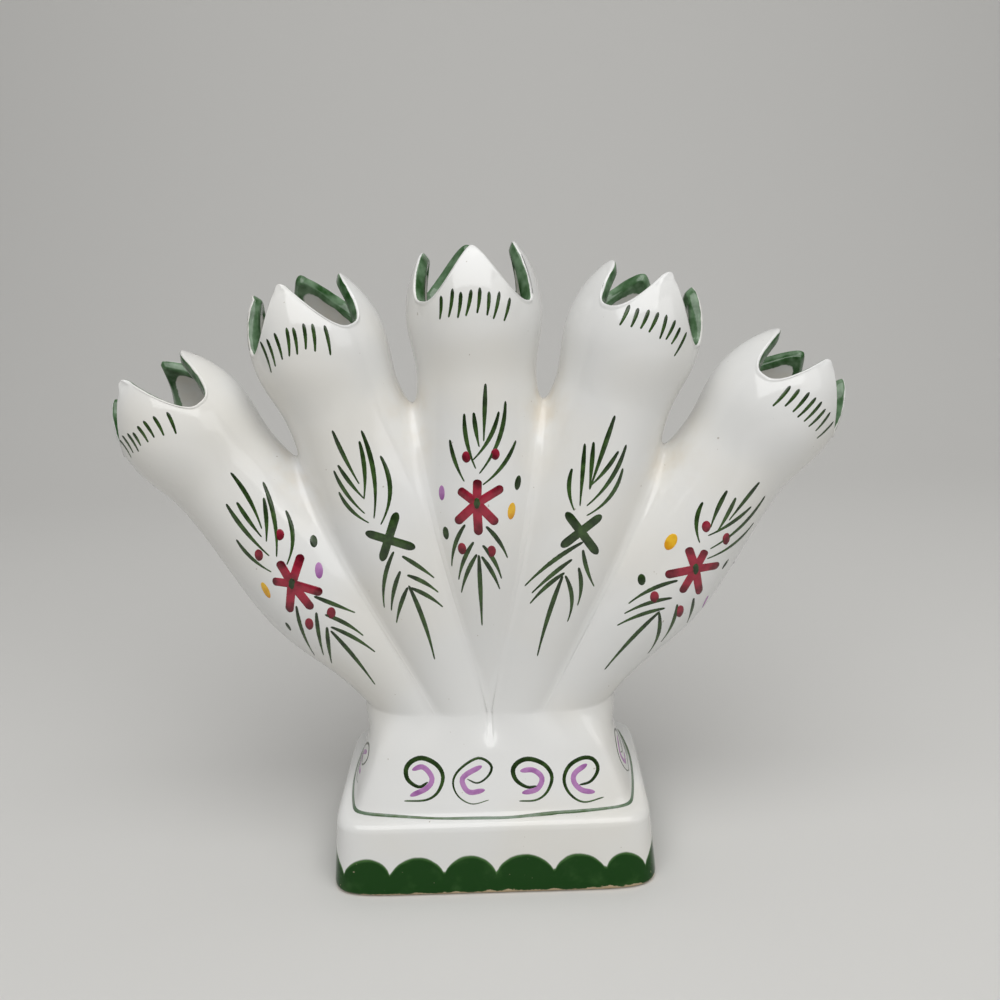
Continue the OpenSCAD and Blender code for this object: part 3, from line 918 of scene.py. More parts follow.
def pottery():
    """All the pieces of pottery, with normals that run on smoothly over the waist."""
    fingers = [finger_skin(k) for k in range(len(FINGERS))]
    root_points = np.concatenate([skin.rows[0][free] for skin, free, _ in fingers])
    root_normals = np.concatenate([skin.row_normals(0)[free] for skin, free, _ in fingers])
    flare = Flare(root_points)
    angles = plan_angles()
    rows = [flare.row(angles, u) for u in np.linspace(0.0, 1.0, PEDESTAL_ROWS)]
    rows += [flare.row(angles, u, WALL) for u in np.linspace(1.0, 0.0, CHAMBER_ROWS)]
    hidden = np.zeros((len(rows), BASE_COLUMNS), bool)
    hidden[[PEDESTAL_ROWS - 1, -1]] = True
    pedestal = Skin(np.array(rows), hidden)
    top = pedestal.row_normals(PEDESTAL_ROWS - 1)
    for skin, free, _ in fingers:
        ring_normals = skin.row_normals(0)
        below = normals_by_turn(turn_of(skin.rows[0]), pedestal.rows[PEDESTAL_ROWS - 1], top)
        ring_normals[free] = unit(ring_normals[free] + below[free])
    top[:] = unit(top + normals_by_turn(angles, root_points, root_normals))
    rows = np.array([ring(angles, plan_r(angles, inset), z) for inset, z in plinth_profile()])
    hidden = np.zeros(rows.shape[:2], bool)
    hidden[[0, 1, -1]] = True
    return fingers, pedestal, Skin(rows, hidden)


def make_vase(fingers, pedestal, plinth):
    glaze = finger_glaze()
    valleys = np.array([(x, 0.0, z - SHADE_BELOW) for x, z in map(valley_top, range(FAR_LEFT, FAR_RIGHT))])
    for k, (skin, _, rim) in enumerate(fingers):
        away = np.linalg.norm(skin.points[:, None] - valleys[None], axis=2).min(axis=1)
        # Painted shade in ochre, strongest just below each valley between fingers and even all through the
        # bores
        painted_shade = SHADE_SHARE * np.exp(-((away / SHADE_REACH) ** 2)).reshape(rim.shape)
        painted_shade[-BORE_CUP_ROWS - BORE_STEM_ROWS :] = BORE_SHADE
        values = {"rim": rim, "painted_shade": painted_shade}
        node = "finger_" + FINGERS[k]
        make_pottery(node + "_glazed", skin, glaze, node, values, ends=k == CENTRE)
    make_pottery("pedestal_glazed", pedestal, glaze_material("pedestal_glaze")[0], "pedestal", {})
    z = plinth.rows[:, :, 2]
    turn = plan_angles()[None]
    worn_h = WEAR_H * (1 + WEAR_UNEVEN * np.cos(turn - WEAR_TURN))
    values = {"scallop": scallop_height(turn) - z, "foot": np.clip(1 - z / worn_h, 0.0, 1.0)}
    make_pottery("plinth_glazed", plinth, plinth_glaze(), "plinth", values)
    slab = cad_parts["floor"].data.materials
    slab.clear()
    slab.append(clay_material())


# Camera, at the photograph's own place

CAMERA_AT = np.array([8.3, -287.4, 202.24])
CAMERA_PITCH, CAMERA_ROLL, CAMERA_YAW = (math.radians(a) for a in (16.97, 2.09, -0.57))
LENS = 36.0
PHOTO_SIDE = 1000.0
CLIP_START = 0.01


def camera_axes():
    """Right, up and forward directions of the camera."""
    away = np.array([math.sin(CAMERA_YAW), math.cos(CAMERA_YAW), 0.0])
    forward = away * math.cos(CAMERA_PITCH) - np.array([0.0, 0.0, math.sin(CAMERA_PITCH)])
    level = np.array([math.cos(CAMERA_YAW), -math.sin(CAMERA_YAW), 0.0])
    upright = np.cross(level, forward)
    right = math.cos(CAMERA_ROLL) * level - math.sin(CAMERA_ROLL) * upright
    up = math.sin(CAMERA_ROLL) * level + math.cos(CAMERA_ROLL) * upright
    return right, up, forward


def make_camera():
    right, up, forward = camera_axes()
    lens = bpy.data.cameras.new("camera")
    lens.lens = LENS
    lens.sensor_width = LENS
    lens.clip_start = CLIP_START
    camera = put("camera", lens)
    turn = Matrix((right, up, -forward)).transposed().to_4x4()
    camera.matrix_world = Matrix.Translation(Vector(CAMERA_AT * MM)) @ turn
    bpy.context.scene.camera = camera


# Brush strokes. Their places are pixels of the photograph, and they lie where its sight lines meet the glaze

# How far a stroke is domed above the glaze, sunk at its edges and rooted below, and its lanes
PAINT_RAISE, PAINT_SINK, PAINT_ROOT = 0.1, 0.03, 0.12
LANES = 6
# Millimetres to a pixel on the vase, the least half width of a stroke in pixels, how much closer its steps
# are at its ends, and how near the glaze one on the back has to be, since its petals are cut differently
PIXEL_MM, LEAST_HALF, END_STEPS, ON_GLAZE = 0.285, 0.2, 0.85, 0.3
# How far along a line of sight the glaze is about, for one that slips between two faces
SIGHT = 290.0


class Ground:
    """The glazed surface that the paint goes on."""

    def __init__(self, skins):
        points, faces, start = [], [], 0
        for skin in skins:
            points.append(skin.points)
            faces.append(skin.faces[skin.shown] + start)
            start += len(skin.points)
        self.tree = BVHTree.FromPolygons(np.concatenate(points).tolist(), np.concatenate(faces).tolist())
        self.axes = camera_axes()

    def seen(self, pixels):
        """Points and normals of the glaze that the photograph shows at these pixels."""
        right, up, forward = self.axes
        across = (pixels[:, :1] - PHOTO_SIDE / 2) / PHOTO_SIDE
        down = (pixels[:, 1:] - PHOTO_SIDE / 2) / PHOTO_SIDE
        return self.hits([CAMERA_AT] * len(pixels), forward + right * across - up * down)

    def nearest(self, points):
        found = [self.tree.find_nearest(Vector(p)) for p in points]
        return np.array([f[0] for f in found]), np.array([f[1] for f in found])

    def hits(self, starts, rays):
        places, normals = [], []
        for start, ray in zip(starts, rays):
            place, normal, _, _ = self.tree.ray_cast(Vector(start), Vector(ray))
            if place is None:
                place, normal, _, _ = self.tree.find_nearest(Vector(start + ray * SIGHT))
            places.append(place)
            normals.append(normal)
        return np.array(places), np.array(normals)


def mirrored(line):
    return line * np.array([1.0, -1.0, 1.0])


def on_back_petal(k):
    """Takes a line from the front petal of a crown to its back petal."""
    turn = PETAL_ANGLES[k][1] + PETAL_ANGLES[k][3] - 2 * math.pi

    def behind(line):
        x, y, z = mirrored(line).T
        s, _ = nearest(k, x, z)
        ax, az = axis_at(k, s)
        tilt = tilt_at(k, s)
        out = (x - ax) * np.cos(tilt) - (z - az) * np.sin(tilt)
        r, angle = np.hypot(out, y), np.arctan2(y, out) + turn
        out = r * np.cos(angle)
        return np.stack([ax + np.cos(tilt) * out, r * np.sin(angle), az - np.sin(tilt) * out], axis=-1)

    return behind


# Steps between two corners of a curve
CURVE_STEPS = 24


def smooth_path(corners, steps):
    """Even steps along a curve through the corners."""
    p = np.array(corners, float)
    p = np.vstack([2 * p[0] - p[1], p, 2 * p[-1] - p[-2]])
    t = np.linspace(0.0, 1.0, CURVE_STEPS, endpoint=False)[:, None]
    parts = []
    for a, b, c, d in zip(p[:-3], p[1:-2], p[2:-1], p[3:]):
        parts.append(b + 0.5 * t * (c - a + t * (2 * a - 5 * b + 4 * c - d + t * (3 * (b - c) + d - a))))
    line = np.vstack(parts + [p[-2:-1]])
    length = np.concatenate([[0.0], np.cumsum(np.linalg.norm(np.diff(line, axis=0), axis=1))])
    even = np.linspace(0.0, length[-1], steps)
    return np.stack([np.interp(even, length, line[:, i]) for i in (0, 1)], axis=-1)


def bowed_path(start, end, bow, steps):
    """Bent line; the bow is how far its middle is off, as a share of its length, to the left of its way."""
    start, end = np.array(start, float), np.array(end, float)
    way = end - start
    middle = (start + end) / 2 + 2 * bow * np.array([way[1], -way[0]])
    t = np.linspace(0.0, 1.0, steps)[:, None]
    return (1 - t) ** 2 * start + 2 * t * (1 - t) * middle + t * t * end


# Widths along a stroke, as shares of the widest: how much of its length its rounded ends take, where it
# starts to thin out and by how much, and how wide a leaf starts and where it is full
LEAF_ENDS, TICK_ENDS, BLUNT_END = (0.05, 0.03), (0.2, 0.05), 0.15
THIN_FROM, LEAF_THINS, TICK_THINS = 0.4, 0.65, 0.45
LEAF_START, LEAF_FULL = 0.6, 0.3


def round_end(t, share):
    u = np.minimum(t / share, 1.0)
    return np.sqrt(u * (2 - u))


def round_ends(t, first, last):
    return round_end(t, first) * round_end(1 - t, last)


def thinned(t, loss):
    return 1 - loss * ease((t - THIN_FROM) / (1 - THIN_FROM))


def tapered(t):
    return round_ends(t, *LEAF_ENDS) * mix(LEAF_START, 1.0, ease(t / LEAF_FULL)) * thinned(t, LEAF_THINS)


def even(t):
    return round_ends(t, *TICK_ENDS) * thinned(t, TICK_THINS)


def blunt(t):
    return round_ends(t, BLUNT_END, BLUNT_END)


def oval(t):
    return np.sqrt(np.maximum(1 - (2 * t - 1) ** 2, 0.0))


def paint_skin(places, normals, v, lift=0.0):
    """Top and underside of a stroke that is domed across v from -1 to 1, its edges sunk in the glaze."""
    dome = 1 - v**2
    over = places + normals * ((PAINT_RAISE + lift) * dome - PAINT_SINK)
    return over, places - normals * (PAINT_ROOT * dome + PAINT_SINK)


class Brush:
    """Gathers strokes of one colour into one piece, on the front and mirrored onto the back."""

    def __init__(self, name, material, ground):
        self.name, self.material, self.ground = name, material, ground
        self.points, self.faces, self.pools = [], [], []
        self.count = 0

    def stroke(self, path, width, profile, pool, lift=0.0, aim=None, behind=None):
        """Lay one stroke; pool is how dark its start, middle and end are, behind takes it to the back."""
        plain = np.linspace(0.0, 1.0, len(path))
        t = mix(plain, (1 - np.cos(math.pi * plain)) / 2, END_STEPS)
        path = np.stack([np.interp(t, plain, path[:, i]) for i in (0, 1)], axis=-1)
        line, _ = (aim or self.ground.seen)(path)
        half = PIXEL_MM * np.maximum(width / 2 * profile(t), LEAST_HALF)
        dark = np.interp(t, (0.0, 0.5, 1.0), pool)
        self.lay(line, half, dark, lift)
        if aim is None:
            line = (behind or mirrored)(line)
            if np.abs(self.ground.nearest(line)[0] - line).max() < ON_GLAZE:
                self.lay(line, half, dark, lift)

    def lay(self, line, half, dark, lift):
        """One stroke along a line on the glaze, reaching half its width to each side of it."""
        line, normals = self.ground.nearest(line)
        steps = len(line)
        beside = unit(np.cross(normals, unit(np.gradient(line, axis=0))))
        v = np.linspace(-1.0, 1.0, LANES + 1)
        places = line[:, None] + beside[:, None] * half[:, None, None] * v[None, :, None]
        places, normals = self.ground.nearest(places.reshape(-1, 3))
        places, normals = places.reshape(steps, -1, 3), normals.reshape(steps, -1, 3)
        over, under = paint_skin(places, normals, v[None, :, None], lift)
        loop = np.concatenate([over, under[:, -2:0:-1]], axis=1)
        faces = quads(steps, loop.shape[1], wrap=False).tolist()
        last = (steps - 1) * loop.shape[1]
        faces += [list(range(loop.shape[1]))[::-1], list(range(last, last + loop.shape[1]))]
        middle = np.cross(over[1, 1] - over[0, 0], over[0, 1] - over[1, 0])
        if middle @ normals[0, 0] > 0:
            faces = [f[::-1] for f in faces]
        self.keep(loop.reshape(-1, 3), faces, np.repeat(dark, loop.shape[1]))

    def keep(self, points, faces, dark):
        self.points.append(points)
        self.faces += [[i + self.count for i in f] for f in faces]
        self.pools.append(dark)
        self.count += len(points)

    def dot(self, x, y, wide, tall, lean, pool, lift=0.0):
        """Oval dab, its long way leaning from upright by so many degrees."""
        a = math.radians(lean)
        reach = np.array([math.sin(a), math.cos(a)]) * tall / 2
        self.stroke(bowed_path((x, y) - reach, (x, y) + reach, 0.0, DAB_STEPS), wide, oval, pool, lift)

    def finish(self):
        values = {"pool": np.concatenate(self.pools)}
        make_piece(self.name, np.concatenate(self.points), self.faces, self.material, values)


# Strokes: widths in pixels, the length of a long leaf and the bow of a tick, steps along them, how dark their
# start, middle and end are, and how far those that lie over others are lifted
LEAF_W, LONG_LEAF_W, CROSS_W, STAR_W, TICK_W = 5.6, 6.0, 11.0, 11.0, 4.5
BERRY_W, HEART_W, DAB_TALL = 10.5, 10.0, 1.1
LONG_LEAF, TICK_BOW = 66.0, 0.03
LEAF_STEPS, CROSS_STEPS, STAR_STEPS, TICK_STEPS = 18, 26, 22, 12
DAB_STEPS, CURL_STEPS, FILL_STEPS = 11, 54, 30
LEAF_POOL, CROSS_POOL, STAR_POOL = (0.9, 0.45, 0.5), (0.8, 0.55, 0.8), (0.5, 0.1, 1.0)
GREEN_POOL, BERRY_POOL, HEART_POOL = (0.7, 0.8, 0.9), (0.3, 0.5, 1.0), (0.6, 0.6, 0.9)
DOT_POOL, CURL_POOL, FILL_POOL = (0.1, 0.3, 0.9), (0.8, 0.7, 0.4), (0.5, 0.2, 0.5)
STAR_LIFT, BERRY_LIFT, HEART_LIFT = 0.004, 0.04, 0.07
# Leaves of each sprig: start, end and bow. The upper ones start at their tips and the lower ones at the stem
LEAVES = {
    "centre": (
        (485.5, 383.4, 483.7, 441.4, 0.0), (473.7, 412.4, 479.2, 447.0, -0.02),
        (464.3, 413.5, 475.9, 468.9, -0.06), (498.9, 411.3, 472.5, 460.4, 0.08),
        (505.4, 400.8, 479.2, 473.8, 0.09), (449.8, 439.6, 464.3, 481.6, -0.05),
        (516.0, 440.3, 482.6, 485.0, 0.08), (465.2, 524.5, 451.8, 566.4, -0.08),
        (473.7, 541.9, 458.7, 579.8, -0.06), (477.0, 554.2, 461.4, 592.8, -0.05),
        (478.8, 554.8, 482.1, 625.6, 0.0), (481.5, 556.4, 499.8, 589.2, 0.04),
        (482.6, 545.2, 501.6, 578.7, 0.06), (485.9, 526.3, 507.6, 558.0, 0.06),
    ),
    "left": (
        (332.2, 430.2, 359.2, 484.1, -0.02), (359.2, 440.8, 363.9, 499.4, 0.05),
        (361.2, 430.2, 373.9, 518.8, 0.07), (380.2, 455.5, 380.6, 524.9, 0.14),
        (337.8, 464.9, 363.9, 498.6, -0.03), (333.7, 470.4, 364.9, 513.7, -0.06),
        (338.8, 491.8, 369.0, 522.9, -0.09), (393.9, 551.4, 384.3, 607.8, -0.08),
        (400.4, 571.0, 391.4, 610.6, -0.05), (407.8, 587.3, 396.5, 622.9, -0.04),
        (408.6, 585.3, 434.7, 659.6, 0.03), (410.2, 587.8, 442.9, 607.1, 0.05),
        (407.1, 575.1, 438.4, 592.4, 0.05), (402.0, 556.1, 434.3, 578.0, 0.02),
    ),
    "far_left": (
        (230.6, 472.4, 261.8, 529.0, 0.05), (236.7, 502.0, 261.6, 537.1, -0.02),
        (226.1, 503.7, 269.4, 556.1, -0.04), (236.3, 539.4, 271.4, 572.0, -0.07),
        (263.7, 497.6, 266.3, 541.8, 0.03), (262.9, 481.6, 276.5, 557.1, 0.06),
        (285.7, 510.2, 286.7, 564.9, 0.12), (296.3, 605.7, 314.7, 655.5, -0.06),
        (316.3, 612.2, 323.5, 655.1, -0.03), (326.9, 626.9, 331.6, 663.3, -0.02),
        (330.6, 630.6, 375.1, 684.7, 0.02), (330.6, 626.9, 375.1, 652.0, 0.04),
        (324.9, 614.7, 363.3, 635.7, 0.05), (313.9, 596.3, 355.1, 612.7, 0.0),
    ),
    "right": (
        (615.1, 415.3, 589.6, 489.8, 0.0), (593.7, 441.8, 589.6, 489.4, 0.0),
        (584.9, 443.3, 580.0, 506.1, 0.0), (572.2, 468.4, 574.3, 510.6, -0.1),
        (618.6, 451.0, 590.6, 485.7, 0.04), (626.3, 444.5, 586.5, 506.1, 0.08),
        (622.9, 468.0, 586.5, 515.7, 0.12), (583.5, 541.9, 524.6, 586.1, -0.04),
        (572.3, 559.3, 531.7, 593.2, -0.02), (564.7, 572.7, 529.9, 603.7, -0.04),
        (562.9, 575.4, 537.3, 656.2, -0.02), (565.2, 575.4, 567.4, 621.8, 0.12),
        (578.6, 567.5, 577.5, 605.5, 0.08), (583.0, 549.7, 594.2, 586.5, -0.05),
    ),
    "far_right": (
        (759.6, 482.0, 729.0, 520.4, 0.0), (727.3, 490.4, 710.6, 527.6, -0.03),
        (735.9, 497.6, 716.7, 532.7, 0.02), (751.4, 506.5, 708.0, 535.7, 0.05),
        (765.1, 495.9, 710.0, 549.0, 0.07), (753.9, 522.4, 706.9, 558.8, 0.08),
        (702.9, 502.0, 699.8, 542.9, -0.12), (678.0, 580.6, 628.4, 603.7, -0.06),
        (672.2, 598.0, 624.3, 613.7, -0.05), (665.1, 608.2, 617.1, 625.5, -0.04),
        (660.0, 611.2, 604.5, 669.8, -0.02), (659.0, 612.2, 647.8, 653.5, 0.12),
        (677.3, 604.1, 661.0, 641.8, 0.08), (693.7, 598.0, 686.9, 622.9, 0.05),
    ),
}
CROSSES = {
    "left": ((396.9, 512.2, 381.6, 561.2), (365.3, 532.7, 415.3, 548.0)),
    "right": ((566.1, 512.2, 597.8, 554.1), (601.8, 515.3, 561.0, 546.9)),
}
# Stars: the middle, the tips of the petals and the berries round it
STARS = {
    "centre": (
        (476.8, 503.3),
        ((477.5, 479.4), (503.1, 487.2), (497.1, 524.0), (478.6, 535.2), (455.8, 522.9), (458.5, 489.4)),
        ((466.3, 457.0), (495.3, 454.2), (462.0, 548.6), (491.5, 551.3)),
    ),
    "far_left": (
        (291.8, 583.7),
        ((301.4, 554.1), (278.6, 561.2), (272.4, 581.2), (289.2, 612.2), (312.2, 609.2), (322.4, 592.9)),
        ((279.6, 534.7), (258.8, 555.1), (331.2, 612.9), (309.2, 623.9)),
    ),
    "far_right": (
        (695.7, 569.0),
        ((688.2, 547.3), (705.9, 550.0), (719.2, 565.3), (699.8, 593.9), (681.4, 592.9), (665.1, 575.1)),
        ((706.3, 526.5), (726.3, 538.8), (654.5, 596.9), (680.0, 611.2)),
    ),
}
# Dabs: their place, width, height and lean from upright in degrees
GREEN_DABS = {
    "centre": ((445.8, 533.0, 9.0, 13.0, 5.0), (517.9, 482.7, 9.0, 15.0, -10.0)),
    "far_left": ((313.7, 541.2, 9.5, 12.5, 5.0), (288.2, 626.5, 6.0, 9.5, 30.0)),
    "far_right": ((641.6, 579.6, 10.0, 11.5, 0.0), (732.0, 567.8, 5.5, 14.0, -20.0)),
}
DOTS = {
    "mauve": (
        (441.7, 492.8, 9.0, 15.0, 0.0), (319.0, 570.4, 10.0, 16.5, 3.0), (705.3, 601.6, 6.5, 13.5, -25.0),
    ),
    "yellow": (
        (511.6, 511.0, 10.5, 17.0, -8.0), (265.7, 590.2, 10.5, 17.5, 25.0),
        (670.8, 541.8, 14.0, 18.0, -30.0),
    ),
}
# Ticks under each crown: start and end
TICKS = {
    "centre": (
        (440.9, 295.5, 439.7, 319.5), (452.5, 288.3, 448.5, 317.5), (460.8, 291.6, 457.6, 318.2),
        (471.2, 289.3, 465.7, 316.2), (479.8, 287.2, 477.0, 313.4), (489.0, 291.3, 487.0, 315.7),
        (499.4, 291.3, 493.3, 319.2), (509.9, 297.6, 504.0, 321.2),
    ),
    "left": (
        (260.1, 341.4, 271.3, 372.9), (266.5, 338.8, 275.4, 366.7), (274.0, 332.8, 282.4, 360.0),
        (286.3, 327.5, 289.3, 356.7), (292.9, 327.3, 297.3, 354.9), (303.2, 323.2, 305.8, 349.7),
        (312.1, 323.5, 315.1, 351.9), (324.2, 325.1, 330.5, 355.5),
    ),
    "far_left": (
        (119.7, 440.0, 131.3, 457.7), (122.0, 435.5, 133.2, 453.1), (127.1, 433.3, 138.6, 451.8),
        (132.6, 432.6, 140.7, 445.8), (137.1, 426.1, 148.2, 442.4), (143.1, 420.9, 154.3, 437.8),
        (153.1, 416.1, 163.9, 435.9), (166.8, 411.8, 176.1, 434.1),
    ),
    "right": (
        (629.5, 304.7, 619.6, 325.4), (638.3, 307.9, 630.9, 327.3), (649.1, 309.6, 640.4, 328.9),
        (658.5, 312.1, 648.8, 332.5), (666.7, 314.6, 659.6, 339.1), (675.4, 320.1, 665.7, 339.9),
        (680.4, 327.3, 671.2, 344.3), (686.7, 332.1, 674.1, 356.3),
    ),
    "far_right": (
        (790.5, 385.8, 772.6, 406.2), (799.6, 388.9, 784.8, 406.4), (809.5, 392.1, 792.6, 412.1),
        (816.2, 397.4, 797.3, 417.4), (822.1, 401.6, 803.8, 421.6), (825.7, 408.9, 808.4, 426.8),
        (830.5, 412.1, 815.4, 431.1), (833.7, 421.6, 816.8, 438.4),
    ),
}
# Scrolls on the pedestal: a green curl and a mauve one inside it
SCROLLS = (
    (
        (
            (428, 782), (419, 787), (408, 780), (406, 769), (412, 761), (423, 758), (437, 765), (443, 777),
            (438, 792), (426, 800), (404, 801),
        ),
        ((412, 770), (423, 767), (432, 778), (427, 788), (410, 796)),
    ),
    (
        (
            (467, 779), (478, 783), (489, 775), (491, 765), (478, 758), (460, 769), (453, 782), (458, 796),
            (472, 804), (489, 800),
        ),
        ((482, 766), (467, 774), (462, 781), (469, 792), (485, 790)),
    ),
    (
        (
            (537, 786), (527, 787), (516, 780), (513, 769), (520, 761), (531, 759), (545, 765), (552, 777),
            (547, 792), (536, 800), (519, 801),
        ),
        ((520, 771), (533, 770), (542, 778), (537, 789), (522, 793)),
    ),
    (
        (
            (579, 785), (591, 781), (598, 769), (593, 759), (582, 758), (569, 766), (564, 780), (570, 794),
            (584, 802), (604, 797),
        ),
        ((587, 764), (575, 773), (574, 782), (582, 790), (595, 792)),
    ),
)
SCROLL_W, SCROLL_FILL_W = (6.4, 3.6, 6.2, 5.4), 6.8
# One of them is on each end of the pedestal too: which one, its middle there and in the photograph, and
# millimetres to a pixel
SIDE_SCROLL, SIDE_SCROLL_Y, SIDE_SCROLL_H = 1, -8.0, 32.5
SIDE_SCROLL_MIDDLE, SIDE_SCROLL_SCALE = (472.0, 781.0), 0.28


def paint_sprigs(ground, colours):
    for label, leaves in LEAVES.items():
        sprig = Brush("sprig_" + label, colours["leaf"], ground)
        for x0, y0, x1, y1, bow in leaves:
            width = LONG_LEAF_W if math.dist((x0, y0), (x1, y1)) > LONG_LEAF else LEAF_W
            sprig.stroke(bowed_path((x0, y0), (x1, y1), bow, LEAF_STEPS), width, tapered, LEAF_POOL)
        for x0, y0, x1, y1 in CROSSES.get(label, ()):
            sprig.stroke(bowed_path((x0, y0), (x1, y1), 0.0, CROSS_STEPS), CROSS_W, blunt, CROSS_POOL)
        for dab in GREEN_DABS.get(label, ()):
            sprig.dot(*dab, GREEN_POOL)
        if label in STARS:
            middle, tips, berries = STARS[label]
            star = Brush("star_" + label, colours["crimson"], ground)
            for i, tip in enumerate(tips):
                path = bowed_path(middle, tip, 0.0, STAR_STEPS)
                star.stroke(path, STAR_W, blunt, STAR_POOL, STAR_LIFT * i)
            for x, y in berries:
                star.dot(x, y, BERRY_W, BERRY_W * DAB_TALL, 0.0, BERRY_POOL, BERRY_LIFT)
            star.finish()
            sprig.dot(*middle, HEART_W, HEART_W * DAB_TALL, 0.0, HEART_POOL, HEART_LIFT)
        sprig.finish()


def paint_dots(ground, colours):
    for colour, dots in DOTS.items():
        brush = Brush(colour + "_dots", colours[colour], ground)
        for dab in dots:
            brush.dot(*dab, DOT_POOL)
        brush.finish()


def paint_ticks(ground, colours):
    for label, ticks in TICKS.items():
        brush = Brush("ticks_" + label, colours["leaf"], ground)
        behind = on_back_petal(FINGERS.index(label))
        for x0, y0, x1, y1 in ticks:
            path = bowed_path((x0, y0), (x1, y1), TICK_BOW, TICK_STEPS)
            brush.stroke(path, TICK_W, even, LEAF_POOL, behind=behind)
        brush.finish()


def side_aim(ground, side):
    """Takes the scroll's pixels to millimetres on one end of the pedestal."""

    def aim(pixels):
        across = SIDE_SCROLL_Y + (pixels[:, 0] - SIDE_SCROLL_MIDDLE[0]) * SIDE_SCROLL_SCALE * side
        above = SIDE_SCROLL_H - (pixels[:, 1] - SIDE_SCROLL_MIDDLE[1]) * SIDE_SCROLL_SCALE
        starts = np.stack([np.full_like(across, side * HEIGHT), across, above], axis=-1)
        return ground.hits(starts, np.tile([-float(side), 0.0, 0.0], (len(pixels), 1)))

    return aim


def paint_scrolls(ground, colours):
    curls = Brush("scroll_curls", colours["leaf"], ground)
    fills = Brush("scroll_fills", colours["mauve"], ground)
    front = [(*scroll, width, None) for scroll, width in zip(SCROLLS, SCROLL_W)]
    ends = [(*SCROLLS[SIDE_SCROLL], SCROLL_W[SIDE_SCROLL], side_aim(ground, side)) for side in (1, -1)]
    for green, mauve, width, aim in front + ends:
        curls.stroke(smooth_path(green, CURL_STEPS), width, tapered, CURL_POOL, aim=aim)
        fills.stroke(smooth_path(mauve, FILL_STEPS), SCROLL_FILL_W, blunt, FILL_POOL, aim=aim)
    curls.finish()
    fills.finish()


# The line round the pedestal's foot: how far out it lies, its width, how much it wanders, its long and short
# waves, where those start and how high the short ones are, and how dark it is, by how much more and how often
FOOT_LINE_OUT, FOOT_LINE_W, FOOT_LINE_WANDER = 0.3, 0.9, 0.2
FOOT_LINE_WAVES, FOOT_LINE_START, FOOT_LINE_SHORT = (3, 8), 0.6, 0.5
FOOT_LINE_DARK, FOOT_LINE_DARKER, FOOT_LINE_POOLS = 0.4, 0.3, 5


def paint_foot_line(ground, colours):
    turn = plan_angles()
    long, short = FOOT_LINE_WAVES
    wander = np.sin(long * turn + FOOT_LINE_START) + FOOT_LINE_SHORT * np.sin(short * turn)
    middle = bowed_r(turn, FLARE_FOOT_HALF, FLARE_FOOT_BOW) + FOOT_LINE_OUT + FOOT_LINE_WANDER * wander
    v = np.linspace(-1.0, 1.0, LANES + 1)
    above = np.concatenate([ring(turn, middle - lane * FOOT_LINE_W / 2, WAIST_H) for lane in v])
    places, normals = ground.hits(above, np.tile([0.0, 0.0, -1.0], (len(above), 1)))
    places, normals = places.reshape(len(v), -1, 3), normals.reshape(len(v), -1, 3)
    over, under = paint_skin(places, normals, v[:, None, None])
    rows = np.concatenate([over, under[-2:0:-1]])
    faces = quads(len(rows), BASE_COLUMNS, wrap=True).tolist()
    dark = FOOT_LINE_DARK + FOOT_LINE_DARKER * np.sin(FOOT_LINE_POOLS * turn)
    dark = np.broadcast_to(dark, rows.shape[:2])
    make_piece("foot_line", rows.reshape(-1, 3), faces, colours["line"], {"pool": dark})


# The colours: the name of each, and the colour where it is thin and where it pools
PAINTS = {
    "leaf": ("leaf_green", LEAF_GREEN, DARK_LEAF),
    "crimson": ("crimson", CRIMSON, DEEP_CRIMSON),
    "mauve": ("mauve", MAUVE, DEEP_MAUVE),
    "yellow": ("yellow", YELLOW, AMBER),
    "line": ("line_green", PALE_LINE, LEAF_GREEN),
}


def paint(ground):
    colours = {label: paint_material(*colour) for label, colour in PAINTS.items()}
    for part in (paint_sprigs, paint_dots, paint_ticks, paint_scrolls, paint_foot_line):
        part(ground, colours)


# Studio: a pale floor that curves up into a backdrop, and soft light from above and in front

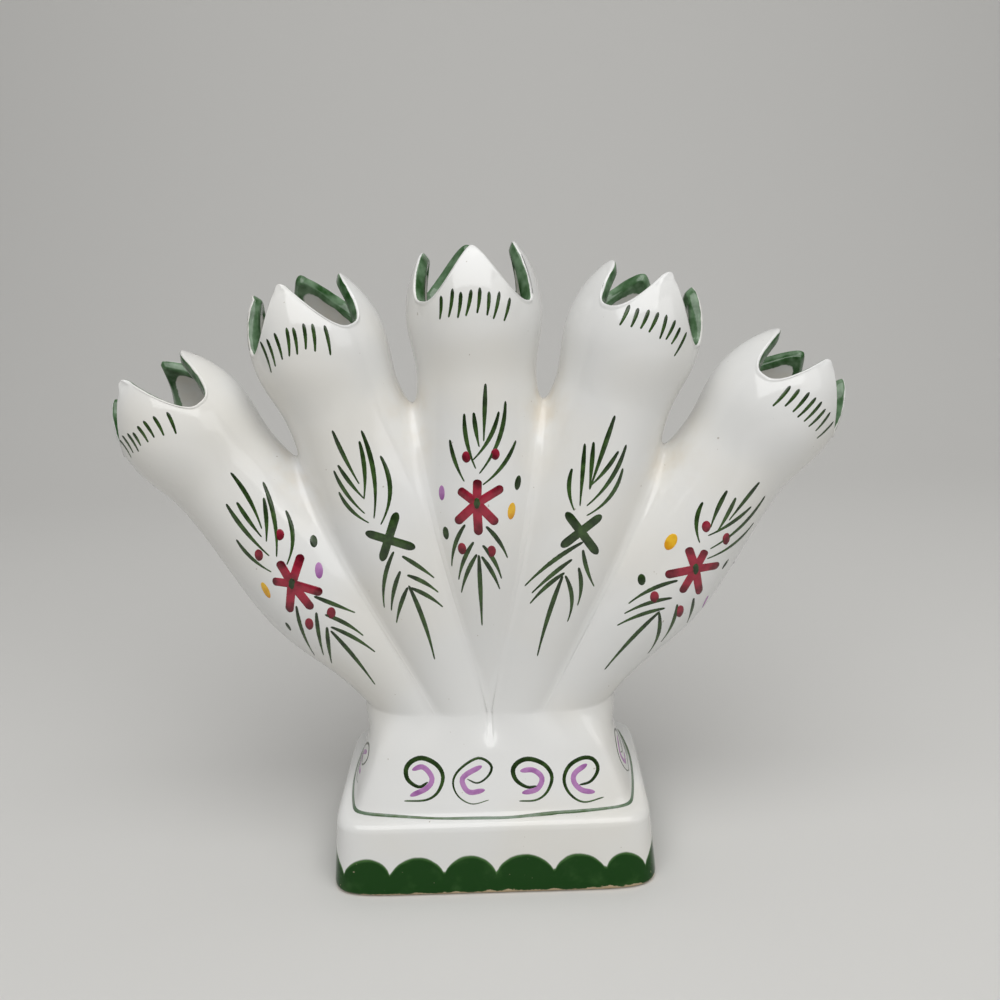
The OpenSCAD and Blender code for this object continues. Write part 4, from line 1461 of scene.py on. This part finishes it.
PAPER, PAPER_ROUGHNESS = rgb(214, 213, 210), 0.9
SHEET_HALF, SHEET_BACK, SHEET_BOW, SHEET_STEPS = 3.0, 0.9, 0.5, 24
# Lamps, all aimed at the middle of the vase: place, size and power
LAMPS = {
    "key": ((0.0, -0.72, 1.2), (1.6, 1.2), 17.5),
    "fill": ((0.8, -0.7, 0.6), (0.6, 0.5), 1.2),
    "top": ((0.1, 0.05, 1.1), (0.8, 0.6), 1.5),
}
AROUND, AROUND_STRENGTH = rgb(235, 235, 235), 0.07


def make_stage():
    material, _, surface = shader("pale_paper")
    surface.inputs["Base Color"].default_value = PAPER
    surface.inputs["Roughness"].default_value = PAPER_ROUGHNESS
    profile = [(-SHEET_HALF, 0.0), (SHEET_BACK - SHEET_BOW, 0.0)]
    for a in np.linspace(0.0, math.pi / 2, SHEET_STEPS)[1:]:
        profile.append((SHEET_BACK - SHEET_BOW * (1 - math.sin(a)), SHEET_BOW * (1 - math.cos(a))))
    profile.append((SHEET_BACK, SHEET_HALF))
    points = [(x, y, z) for y, z in profile for x in (-SHEET_HALF, SHEET_HALF)]
    faces = [(2 * i, 2 * i + 1, 2 * i + 3, 2 * i + 2) for i in range(len(profile) - 1)]
    sheet = put("floor_and_backdrop", make_mesh("floor_and_backdrop", points, faces, material))


def make_light():
    for name, (at, size, power) in LAMPS.items():
        light = bpy.data.lights.new(name, "AREA")
        light.shape = "RECTANGLE"
        light.size, light.size_y = size
        light.energy = power
        lamp = put(name, light)
        lamp.location = at
        aim = Vector((0.0, 0.0, HEIGHT / 2 * MM)) - Vector(at)
        lamp.rotation_euler = aim.to_track_quat("-Z", "Y").to_euler()
    world = bpy.data.worlds.new("studio")
    world.use_nodes = True
    background = world.node_tree.nodes["Background"].inputs
    background["Color"].default_value = AROUND
    background["Strength"].default_value = AROUND_STRENGTH
    bpy.context.scene.world = world
    bpy.context.scene.view_settings.view_transform = "Standard"


fingers, pedestal, plinth = pottery()
make_vase(fingers, pedestal, plinth)
paint(Ground([skin for skin, _, _ in fingers] + [pedestal, plinth]))
make_camera()
make_stage()
make_light()
